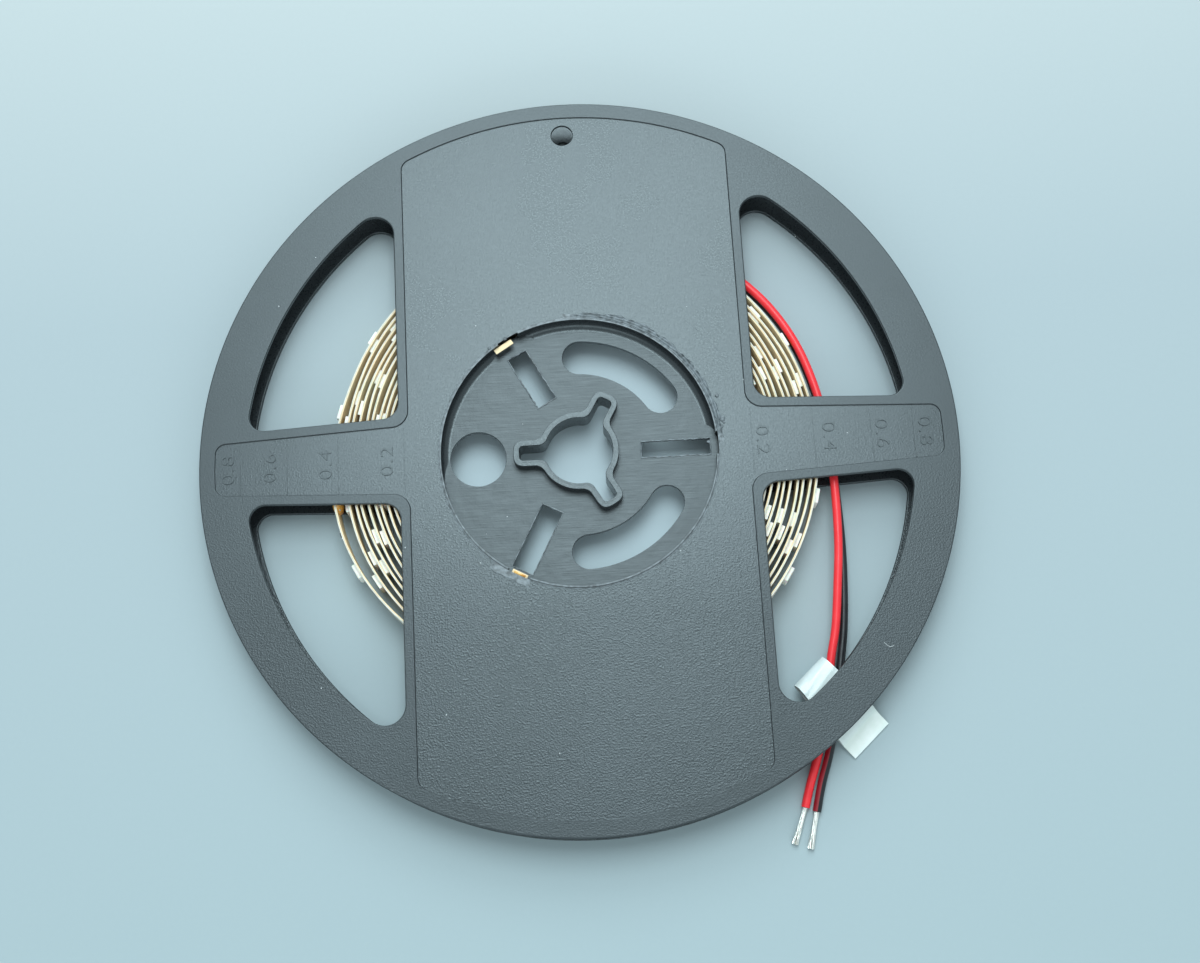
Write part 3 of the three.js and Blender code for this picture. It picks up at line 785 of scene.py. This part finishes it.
# Swaging: the hub's lip was pressed over the flange, which left a wavy flash round the upper right and a torn
# flap at the lower left. The floor rises to the wall in a fillet, and the slots kept the burr of the cutter.
FILLET_LOW = 6.9
FILLET_REACH = 0.0324
LUMPS = [(33.2, 11.4, 0.5), (34.1, 5.7, 0.75), (33.8, 3.8, 0.4), (34.4, 4.8, 0.3), (-16.2, 28.6, 0.45),
         (-20, 26.4, 0.4), (30.6, 1.1, 0.45)]


def pebble(x, y, height, radius, subdivisions):
    """A small ball, its measures in millimetres."""
    deselect()
    bpy.ops.mesh.primitive_ico_sphere_add(subdivisions=subdivisions, radius=radius / 1000,
                                          location=(x / 1000, y / 1000, height / 1000))
    return bpy.context.object


def fade(angle, start, end, over):
    """One between two angles, falling to nought over so many degrees outside them."""
    return min(max((angle - start) / over + 1, 0), 1) * min(max((end - angle) / over + 1, 0), 1)


def flash_height(angle, radius):
    wobble = sum(size * math.sin(math.radians(times * angle + shift))
                 for size, times, shift in ((0.10, 7, 0), (0.06, 31, 40), (0.04, 73, 0)))
    ridges = 0.08 + 0.22 * abs(math.sin(math.pi * (radius - 33.1 + wobble) / 0.62))
    reach = fade(angle, 8, 86, 8) if radius < 34.3 + 3 * wobble - 0.5 * fade(angle, -20, 20, 10) else 0
    flap = 0.13 * fade(angle, 232, 246, 1.5) if radius < 34.7 + 2.5 * wobble else 0
    bead = 0.09 if radius < 32.95 else 0
    return max(bead, ridges * reach, flap + 0.03 * wobble if flap else 0) - 0.006


flash_rows = [32.78, 32.86, 32.95, 33.1] + [33.2 + 0.1 * row for row in range(18)]
flash_top = [(radius, 10.05) for radius in reversed(flash_rows)]
flash = spun("swaged_flash", [(32.78, 9.98), (34.95, 9.98), *flash_top], 900)
for vertex in flash.data.vertices:
    if vertex.co.z > 0.01:
        radius, angle = math.hypot(vertex.co.x, vertex.co.y) * 1000, bearing(vertex.co) % 360
        vertex.co.z += (flash_height(angle, radius) - fade(angle, 355, 365, 2) * 0.05) / 1000
fillet = spun("floor_fillet", [(30.5, FILLET_LOW), (32.5, FILLET_LOW), (32.5, 8.9),
                               *sweep((30.5, 9.0), 1.8, 0, -90, 10)], 360)
for vertex in fillet.data.vertices:
    angle = bearing(vertex.co) % 360
    share = max(fade(angle, 10, 108, 4), fade(angle, 130, 180, 12))
    squeeze = 1 + (FILLET_REACH / math.hypot(vertex.co.x, vertex.co.y) - 1) * (1 - share)
    vertex.co.x *= squeeze
    vertex.co.y *= squeeze
    vertex.co.z = (FILLET_LOW + (vertex.co.z * 1000 - FILLET_LOW) * share) / 1000
burrs = []
for outline, ragged in zip(slots, (0.07, 0.08, 0.03)):
    line = [Vector((x, y, HUB_FLOOR_TOP + rng.uniform(-0.03, ragged))) / 1000
            for x, y in outline + outline[:1]]
    burrs.append(tube("slot_burr", line, 0.00016, 8))
for x, y, size in LUMPS:
    lump = pebble(x, y, HUB_FLOOR_TOP if x == 30.6 else REEL_HEIGHT - 0.28, size, 3)
    for vertex in lump.data.vertices:
        vertex.co *= 1 + rng.uniform(-0.16, 0.16)
    lump.scale = (rng.uniform(0.6, 1.1), rng.uniform(0.6, 1.1), 0.45)
    burrs.append(settle(lump))
scratch = [Vector((*polar(41 + 0.15 * math.sin(turn / 4), turn), recess_floor)) / 1000
           for turn in range(28, 50)]
burrs.append(tube("arc_scratch", scratch, 0.00003, 8))
collar_line = plate("collar_flash", [arbor_outline(0.5), arbor_outline(0.12)],
                    COLLAR_TOP - 0.02, COLLAR_TOP + 0.06)
# The flash takes the lighter torn colour, partly a painted highlight
for piece, finish in ((flash, torn_and_painted_highlight), (fillet, grained), (collar_line, grained)):
    cover(piece, finish)
    dress(piece, smooth=45)
for number, piece in enumerate(burrs, start=1):
    piece.name = f"burr_{number}"
    piece.data.materials.append(torn_and_painted_highlight)
    dress(piece, smooth=60)

# Strip: a flexible board with a white solder mask, and the tan adhesive tape with its liner on the board's
# back, wound clockwise outwards on the hub wall. The turns stand on edge between the flanges; the outermost
# one has sprung loose at the left.
COIL_TURNS = 16
TURN_PITCH = 1.445
COIL_INNER_RADIUS = HUB_RADIUS + HUB_WALL + 0.3
STRIP_LOW = 1.2
STRIP_WIDTH = 8
STRIP_HIGH = STRIP_LOW + STRIP_WIDTH
STRIP_THICKNESS = 0.5
TAPE_THICKNESS = 0.23
STRIP_END_ANGLE = 97
LOOSE_LIFT = 1.9
LOOSE_FROM, LOOSE_TO = 155, 235
COIL_STEPS = 130
CAD_FACETS = 34
LED_SPACING = 19.6
LED_LENGTH = 3.2
BOARD_LENGTH = 3 * LED_SPACING


def strip_at(turn, relaxed=True):
    """A place on the inner face of the strip, so many turns from its inner end: its radius and its angle."""
    angle = (STRIP_END_ANGLE - (turn - COIL_TURNS) * 360) % 360
    share = (angle - LOOSE_FROM) / (LOOSE_TO - LOOSE_FROM)
    loose = turn > COIL_TURNS - 1 and 0 < share < 1
    lift = LOOSE_LIFT * math.sin(math.pi * share) ** 2 if loose else 0
    if relaxed and turn < COIL_TURNS - 1:
        lift += 0.15 * math.sin(math.radians(5 * angle) + 2.3 * turn)
        lift += 0.07 * math.sin(math.radians(13 * angle) + 5.1 * turn)
    return COIL_INNER_RADIUS + TURN_PITCH * turn + lift, angle


def lengths_along(line):
    """How far along a line each of its points lies."""
    run = [0.0]
    for before, after in zip(line, line[1:]):
        run.append(run[-1] + (after - before).length)
    return run


def ribbon(name, inner, outer, low, high, waver):
    """One layer of the strip between two depths, with the way along it and the height as its UV map."""
    count = COIL_TURNS * COIL_STEPS
    line = [Vector((*polar(*strip_at(step / COIL_STEPS)), 0)) for step in range(count + 1)]
    run = lengths_along(line)
    spots = []
    for step, spot in enumerate(line):
        heading = (line[min(step + 1, count)] - line[max(step - 1, 0)]).normalized()
        outward = Vector((-heading.y, heading.x, 0))
        spots.append((spot + outward * inner) / 1000 + Vector((0, 0, low / 1000)))
    piece = piece_of(name, spots, [(step, step + 1) for step in range(count)])
    with editing(piece):
        rise(high - low)
    places = {(round(spot.x, 7), round(spot.y, 7)): step for step, spot in enumerate(spots)}
    steps = [places[(round(vertex.co.x, 7), round(vertex.co.y, 7))] for vertex in piece.data.vertices]
    map_layer = piece.data.uv_layers.new(name="along_and_up")
    for loop in piece.data.loops:
        vertex = piece.data.vertices[loop.vertex_index]
        map_layer.data[loop.index].uv = (run[steps[loop.vertex_index]] / 1000, vertex.co.z)
    for vertex, step in zip(piece.data.vertices, steps):
        vertex.co.z += waver / 1000 * (math.sin(run[step] / 9) * 0.6 + math.sin(run[step] / 23 + 1) * 0.4)
    # Which way the sheet faces follows from the first face, so the wall grows outwards
    first = piece.data.polygons[0]
    outward = first.normal.dot(Vector((first.center.x, first.center.y, 0)).normalized()) > 0
    modified(piece, "SOLIDIFY", thickness=(outer - inner) / 1000, offset=1 if outward else -1,
             use_even_offset=True)
    if not outward:
        with editing(piece):
            bpy.ops.mesh.flip_normals()
    return piece


def window(tree, value, centre, half):
    """One where the value is within so much of the centre, and nought elsewhere."""
    apart = arithmetic(tree, "ABSOLUTE", arithmetic(tree, "SUBTRACT", value, centre))
    return arithmetic(tree, "LESS_THAN", apart, half)


# Distances of the packages along the strip, and the facets of the wound strip that they sit on
facet_corners = [Vector((*polar(*strip_at(step / CAD_FACETS, relaxed=False)), 0))
                 for step in range(COIL_TURNS * CAD_FACETS + 1)]
facet_ends = lengths_along(facet_corners)
STRIP_LENGTH = facet_ends[-1]
led_distances = []
while STRIP_LENGTH - LED_SPACING * (len(led_distances) + 0.5) > LED_LENGTH:
    led_distances.append(STRIP_LENGTH - LED_SPACING * (len(led_distances) + 0.5))
led_distances.reverse()


def turn_at(distance, length):
    """How many turns from the inner end a part of some length sits, whole on one facet."""
    facet = next(index for index in range(len(facet_ends) - 1) if facet_ends[index + 1] >= distance)
    size = facet_ends[facet + 1] - facet_ends[facet]
    margin = min(length, size) / 2
    along = min(max(distance - facet_ends[facet], margin), size - margin)
    return (facet + along / size) / CAD_FACETS


def onto_strip(turn, depth, height):
    """The turning and placing of a part: x along the strip, y across it, z out of its face."""
    spot, ahead = [Vector((*polar(*strip_at(place)), 0)) for place in (turn, turn + 0.004)]
    heading = (ahead - spot).normalized()
    outward = Vector((-heading.y, heading.x, 0))
    turned = Matrix((heading, outward.cross(heading), outward)).transposed().to_4x4()
    return Matrix.Translation((spot + outward * depth) / 1000 + Vector((0, 0, height / 1000))) @ turned


first_outer = next(index for index, distance in enumerate(led_distances)
                   if turn_at(distance, LED_LENGTH) >= COIL_TURNS - 1)
cut_line = led_distances[first_outer + 2] + LED_SPACING / 2

# The board's face: copper pads on each side of a printed cut line, once in three packages
mask_face, tree, shader = material("white_solder_mask", [("Roughness", 0.38), ("Specular IOR Level", 0.45)])
mask_uv = node(tree, "ShaderNodeUVMap", uv_map="along_and_up").outputs["UV"]
mask_map = node(tree, "ShaderNodeSeparateXYZ", [("Vector", mask_uv)]).outputs
mask_shift = 10 * BOARD_LENGTH + BOARD_LENGTH / 2 - cut_line % BOARD_LENGTH
mask_along = arithmetic(tree, "DIVIDE", arithmetic(tree, "ADD", mask_map["X"], mask_shift / 1000),
                        BOARD_LENGTH / 1000)
mask_middle = arithmetic(tree, "SUBTRACT", arithmetic(tree, "FRACT", mask_along), 0.5)
mask_place = arithmetic(tree, "MULTIPLY", mask_middle, BOARD_LENGTH / 1000)
pad_along = window(tree, arithmetic(tree, "ABSOLUTE", mask_place), 0.00155, 0.00125)
pad_up = arithmetic(tree, "ADD", window(tree, mask_map["Y"], 0.0029, 0.0009),
                    window(tree, mask_map["Y"], 0.0075, 0.0009))
pads = arithmetic(tree, "MULTIPLY", pad_along, pad_up)
mask_cloud = ramp(tree, noise(tree, 500, 3), [(0.3, (0.82, 0.76, 0.66)), (0.7, (0.90, 0.84, 0.75))])
mask_tracks = window(tree, mask_map["Y"], 0.0052, 0.0015)
mask_dull = mix(tree, "MULTIPLY", 0.10, mask_cloud, (0.75, 0.72, 0.6))
mask_printed = mix(tree, "MIX", mask_tracks, mask_cloud, mask_dull)
mask_pads = mix(tree, "MIX", pads, mask_printed, (0.78, 0.42, 0.16))
mask_line = mix(tree, "MIX", window(tree, mask_place, 0, 0.00012), mask_pads, (0.05, 0.05, 0.05))
tree.links.new(mask_line, shader.inputs["Base Color"])
tree.links.new(arithmetic(tree, "MULTIPLY", pads, 0.9), shader.inputs["Metallic"])
bump(tree, shader, noise(tree, 1800, 2), 0.15, 0.00004)

cut_edge = clouded("cut_board_edge", [("Roughness", 0.5)], (260, 3), [
    (0.3, (0.64, 0.57, 0.46)), (0.52, (0.78, 0.73, 0.64)), (0.70, (0.56, 0.56, 0.44)), (0.78, (0.12, 0.40, 0.20)),
], (2500, 2, 0.3, 0.00005))
liner = clouded("tan_tape_liner", [("Roughness", 0.55), ("Specular IOR Level", 0.3)], (130, 3), [
    (0.25, (0.92, 0.66, 0.38)), (0.6, (0.95, 0.78, 0.52)), (0.8, (0.70, 0.70, 0.46))], (900, 2, 0.2, 0.00006))

board = ribbon("strip_board", TAPE_THICKNESS + 0.02, STRIP_THICKNESS, STRIP_LOW, STRIP_HIGH, 0.06)
backing = ribbon("strip_backing", 0, TAPE_THICKNESS, STRIP_LOW + 0.06, STRIP_HIGH - 0.1, 0.04)
for layer, face_finish, edge_finish in ((board, mask_face, cut_edge), (backing, liner, liner)):
    cover(layer, face_finish, edge_finish)
    for face in layer.data.polygons:
        radial = Vector((face.center.x, face.center.y, 0)).normalized()
        face.material_index = 0 if face.normal.dot(radial) > 0.5 else 1
    dress(layer, "strip_coil", 30)

# LED packages: white moulded bodies with a yellow phosphor window that faces outwards and a tinned terminal
# at each end, soldered to the board every 19.6 mm. Those of the inner turns are plainer and in one piece.
LED_BODY_LENGTH = LED_LENGTH + 0.3
LED_WIDTH = 5.6
LED_HEIGHT = 0.85
STRIP_MIDDLE = STRIP_LOW + STRIP_WIDTH / 2

white_body = clouded("white_package", [
    ("Roughness", 0.35), ("Subsurface Weight", 0.2), ("Subsurface Scale", 0.0006),
], (900, 2), [(0.3, (0.90, 0.84, 0.76)), (0.7, (0.96, 0.90, 0.83))], (5000, 2, 0.1, 0.00003))
phosphor = clouded("yellow_phosphor", [("Roughness", 0.22), ("Coat Weight", 0.6), ("Coat Roughness", 0.08)],
                   (2600, 3), [(0.3, (0.86, 0.66, 0.07)), (0.7, (0.95, 0.78, 0.16))])
solder = clouded("bright_solder", [("Metallic", 1.0), ("Roughness", 0.25)], (2400, 3),
                 [(0.3, (0.66, 0.66, 0.64)), (0.7, (0.86, 0.86, 0.85))], (3000, 2, 0.35, 0.00006))


def block(name, size, place, ease, finish):
    """A box of so many millimetres with rounded edges."""
    deselect()
    bpy.ops.mesh.primitive_cube_add(size=0.001, location=[value / 1000 for value in place], scale=size)
    piece = bpy.context.object
    piece.name = name
    settle(piece)
    if ease:
        with editing(piece):
            bpy.ops.mesh.bevel(offset=ease / 1000, segments=2, affect="EDGES")
    piece.data.materials.append(finish)
    return piece


def choose_top(piece):
    """Selects the faces that look up and nothing else; ends in edit mode."""
    pick(piece)
    bpy.ops.object.mode_set(mode="EDIT")
    bpy.ops.mesh.select_mode(type="FACE")
    bpy.ops.mesh.select_all(action="DESELECT")
    bpy.ops.object.mode_set(mode="OBJECT")
    for face in piece.data.polygons:
        face.select = face.normal.z > 0.9
    bpy.ops.object.mode_set(mode="EDIT")


def led_body(name, ease):
    body = block(name, (LED_BODY_LENGTH, LED_WIDTH, LED_HEIGHT), (0, 0, LED_HEIGHT / 2), ease, white_body)
    body.data.materials.append(phosphor)
    choose_top(body)
    bpy.ops.mesh.inset(thickness=0.00035)
    rise(-0.12)
    bpy.context.object.active_material_index = 1
    bpy.ops.object.material_slot_assign()
    bpy.ops.object.mode_set(mode="OBJECT")
    return body


def copy_onto_strip(pattern, name, turn):
    """A copy of a part with its own mesh, set on the face of the strip."""
    copy = pattern.copy()
    copy.data = pattern.data.copy()
    copy.name = name
    bpy.context.scene.collection.objects.link(copy)
    copy.data.transform(onto_strip(turn, STRIP_THICKNESS, STRIP_MIDDLE))
    return copy


led_parts = [led_body("led_pattern", 0.07)]
for side in (-1, 1):
    led_parts.append(block("terminal", (0.3, 3.0, 0.12), (side * (LED_LENGTH / 2 - 0.12), 0, 0.06), 0.03, solder))
led_pattern = join_up("led_pattern", led_parts)
finish_smooth(led_pattern, 40)
plain_pattern = led_body("plain_pattern", 0)
inner = [copy_onto_strip(plain_pattern, "inner_package", turn_at(distance, LED_LENGTH))
         for distance in led_distances[:first_outer]]
dress(join_up("inner_led_packages", inner))
for number, distance in enumerate(led_distances[first_outer:], start=1):
    package = copy_onto_strip(led_pattern, f"led_{number:02d}", turn_at(distance, LED_LENGTH))
    dress(package, f"led_package_{number:02d}")
bpy.data.objects.remove(led_pattern)
bpy.data.objects.remove(plain_pattern)

# Tabs: the inner end of the strip is bent over into the notch at the upper left, and a curl of copper and
# tape shows in the one at the lower left.
amber = clouded("amber_flux", [("Roughness", 0.25), ("Coat Weight", 0.4)], (500, 3), [
    (0.3, (0.62, 0.25, 0.03)), (0.55, (0.90, 0.46, 0.10)), (0.75, (0.98, 0.68, 0.28))], (700, 2, 0.4, 0.0002))
for name, spot, turn, size, finish in (
        ("inner_end_tab", (-16.6, 26.8, 9.55), 212, (4.9, 1.35, 0.26), liner),
        ("copper_curl", (-15.1, -28.6, 9.5), -28, (3.9, 1.05, 0.3), liner),
        ("copper_curl_core", (-15.1, -28.6, 9.62), -28, (2.9, 0.55, 0.3), amber)):
    tab = block(name, size, (0, 0, 0), 0.12, finish)
    for vertex in tab.data.vertices:
        vertex.co.z -= 12 * vertex.co.x ** 2
    turned = Matrix.Rotation(math.radians(turn), 4, "Z") @ Matrix.Rotation(math.radians(9), 4, "X")
    tab.data.transform(Matrix.Translation([value / 1000 for value in spot]) @ turned)
    dress(tab, smooth=40)

# Dust: a few pale specks on the flange and the hub's floor, and a lint fibre near the rim.
SPECKS = [(-23, 32.3), (27.6, 34.1), (22.1, -25.4), (-5.1, -32.3), (-17.6, -14.3), (-22.6, -18.2), (-34.5, -0.8),
          (-13, 8), (-24, -25.6), (-61, 52), (-61, -52.4), (39.7, 15), (-41.2, -21), (55, 50.4), (-33, -60),
          (48, -7.6), (-70, 40), (63, 0.5), (29, -52), (-8, -70)]
speck_finish = clouded("dust", [("Roughness", 0.8)], (4000, 2),
                       [(0.3, (0.45, 0.47, 0.47)), (0.7, (0.75, 0.77, 0.77))])
specks = []
for x, y in SPECKS:
    sunk = abs(x) < BAND_HALF_WIDTH or abs(y) < arm_edge(abs(x), 0)
    height = HUB_FLOOR_TOP if math.hypot(x, y) < 31.5 else recess_floor if sunk else REEL_HEIGHT
    speck = pebble(x, y, height + 0.04, 0.16, 2)
    speck.scale = (rng.uniform(0.5, 1.1), rng.uniform(0.5, 1.1), 0.4)
    specks.append(settle(speck))
fibre = [Vector((66.6 + 2.2 * step / 12, -49.3 - 1.1 * math.sin(step / 5), REEL_HEIGHT + 0.02)) / 1000
         for step in range(13)]
specks.append(tube("fibre", fibre, 0.00005, 8))
for speck in specks:
    speck.data.materials.append(speck_finish)
dress(join_up("dust", specks), smooth=60)

# Resistors: black chips, 2 by 1.25 mm, with a tinned cap at each end, one for every third package.
RESISTOR_LENGTH = 2
ceramic = clouded("black_glaze", [("Roughness", 0.3)], (3000, 2), [(0.3, 0.012), (0.7, (0.03, 0.03, 0.028))])
chip_parts = [block("chip", (1.3, 1.2, 0.48), (0, 0, 0.26), 0.04, ceramic)]
for side in (-1, 1):
    chip_parts.append(block("cap", (0.36, 1.25, 0.5), (side * 0.81, 0, 0.25), 0.08, solder))
chip_pattern = join_up("chip_pattern", chip_parts)
finish_smooth(chip_pattern, 40)
for number, index in enumerate(range(first_outer + 1, len(led_distances), 3), start=1):
    turn = turn_at(led_distances[index] - LED_SPACING / 2, RESISTOR_LENGTH)
    chip = copy_onto_strip(chip_pattern, f"chip_resistor_{number}", turn)
    dress(chip, f"resistor_{number}")
bpy.data.objects.remove(chip_pattern)

# Splice: a lens of amber flux and tape over the soldered lap joint, on the inner face of the loose turn. Its
# two solder bridges show as brighter lumps near its ends.
splice_low, splice_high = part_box("strip_splice")
splice_angle = bearing((splice_low[0] + splice_high[0], splice_low[1] + splice_high[1])) % 360
splice_turn = COIL_TURNS - (splice_angle + 1.8 - STRIP_END_ANGLE) / 360
deselect()
bpy.ops.mesh.primitive_uv_sphere_add(segments=32, ring_count=16, radius=0.001)
lens = bpy.context.object
lens.name = "amber_lens"
lens.scale = (2.4, 3.3, 1.3)
settle(lens)
lens.data.materials.append(amber)
bridges = [block("bridge", (1.6, 0.9, 0.5), (side * 1.1, side * 1.6, -0.45), 0.2, solder) for side in (-1, 1)]
lap_joint = join_up("lap_joint", [lens, *bridges])
finish_smooth(lap_joint, 50)
lap_joint.data.transform(onto_strip(splice_turn, -0.1, STRIP_MIDDLE + 0.6))
dress(lap_joint, "strip_splice")

# Solder joints: two domed blobs that hold the leads to the pads at the end of the strip.
SOLDER_LENGTH = 3.4
SOLDER_WIDTH = 1.7
SOLDER_HEIGHT = 0.9
for lead, height in (("red", 6.3), ("black", 3.9)):
    blob = block("blob", (SOLDER_LENGTH, SOLDER_WIDTH, SOLDER_HEIGHT), (0, 0, SOLDER_HEIGHT / 2), 0, solder)
    choose_top(blob)
    bpy.ops.transform.resize(value=(0.62, 0.55, 1))
    bpy.ops.object.mode_set(mode="OBJECT")
    modified(blob, "SUBSURF", levels=3, render_levels=3)
    blob.name = lead + "_joint"
    end_turn = turn_at(STRIP_LENGTH - SOLDER_LENGTH / 2, SOLDER_LENGTH)
    blob.data.transform(onto_strip(end_turn, STRIP_THICKNESS, height))
    dress(blob, lead + "_solder_joint", 60)

# Flag: a length of clear packing tape folded back on itself round the two leads, its sticky faces pressed
# together. It comes out of the window's corner and past the rim, darker where it lies inside the reel and lighter
# from the rim outwards.
FLAG_WIDTH = 11.2
FLAG_THICKNESS = 0.16
FLAG_HEADING = -48
FLAG_FOLD = (50.1, -55.8)
FLAG_SECTION = [
    (19.6, 0.42), (17.4, 0.8), (15.2, 1.25), (9, 1.3), (2.5, 1.3), (-0.6, 1.75), (-1.6, 3.3),
    (-0.4, 5.05), (3, 5.4), (8, 4.8), (12.4, 4.15), (14.6, 3), (15.8, 1.8), (17.4, 1.2), (19.6, 0.74),
]
FLAG_COLUMNS = 14
flag_along = Vector((*polar(1, FLAG_HEADING), 0))
flag_across = Vector((-flag_along.y, flag_along.x, 0))
flag_origin = Vector((*FLAG_FOLD, 0))
flag_line = smooth_route([(x, 0, z) for x, z in FLAG_SECTION], 8)
flag_spots = []
for column in range(FLAG_COLUMNS + 1):
    share = column / FLAG_COLUMNS - 0.5
    for spot in flag_line:
        ripple = 0.05 * math.sin(3.1 * spot.x + 5 * share) * (1 - 0.6 * abs(share))
        gathered = 0.17 * max(0, 1 - max(spot.x, 0) / 14)
        side = FLAG_WIDTH * (share * (1 - gathered) + gathered / 2)
        reach = flag_origin + flag_along * spot.x + flag_across * side
        flag_spots.append((reach + Vector((0, 0, spot.z + ripple))) / 1000)
rows = len(flag_line)
flag_faces = [(first, first + 1, first + rows + 1, first + rows)
              for column in range(FLAG_COLUMNS) for first in range(column * rows, column * rows + rows - 1)]
flag = piece_of("folded_tape", flag_spots, [], flag_faces)
closed(modified(flag, "SOLIDIFY", thickness=FLAG_THICKNESS / 1000, offset=0))

clear_tape, tree, shader = material("clear_tape", [
    ("Roughness", 0.22), ("Coat Weight", 0.3), ("Transmission Weight", 0.0)])
tape_dot = node(tree, "ShaderNodeVectorMath", [(0, object_place(tree)), (1, tuple(flag_along))],
                operation="DOT_PRODUCT").outputs["Value"]
tape_reach = arithmetic(tree, "SUBTRACT", tape_dot, flag_along.dot(flag_origin) / 1000)
tape_colour = ramp(tree, arithmetic(tree, "DIVIDE", tape_reach, 0.02), [
    (0.0, (0.74, 0.80, 0.80)), (0.735, (0.80, 0.85, 0.84)), (0.80, (0.90, 0.95, 0.91)),
    (0.93, (0.95, 0.98, 0.95)), (0.985, (0.93, 0.99, 0.98))])
tape_cloud = ramp(tree, noise(tree, 260, 3), [(0.35, (0.86, 0.90, 0.86)), (0.65, 1)])
tree.links.new(mix(tree, "MULTIPLY", 0.8, tape_colour, tape_cloud), shader.inputs["Base Color"])
bump(tree, shader, noise(tree, 500, 2), 0.25, 0.00015)
flag.data.materials.append(clear_tape)
dress(flag, "tape_flag", 50)

for sleeve, points, length, bared in lead_runs:
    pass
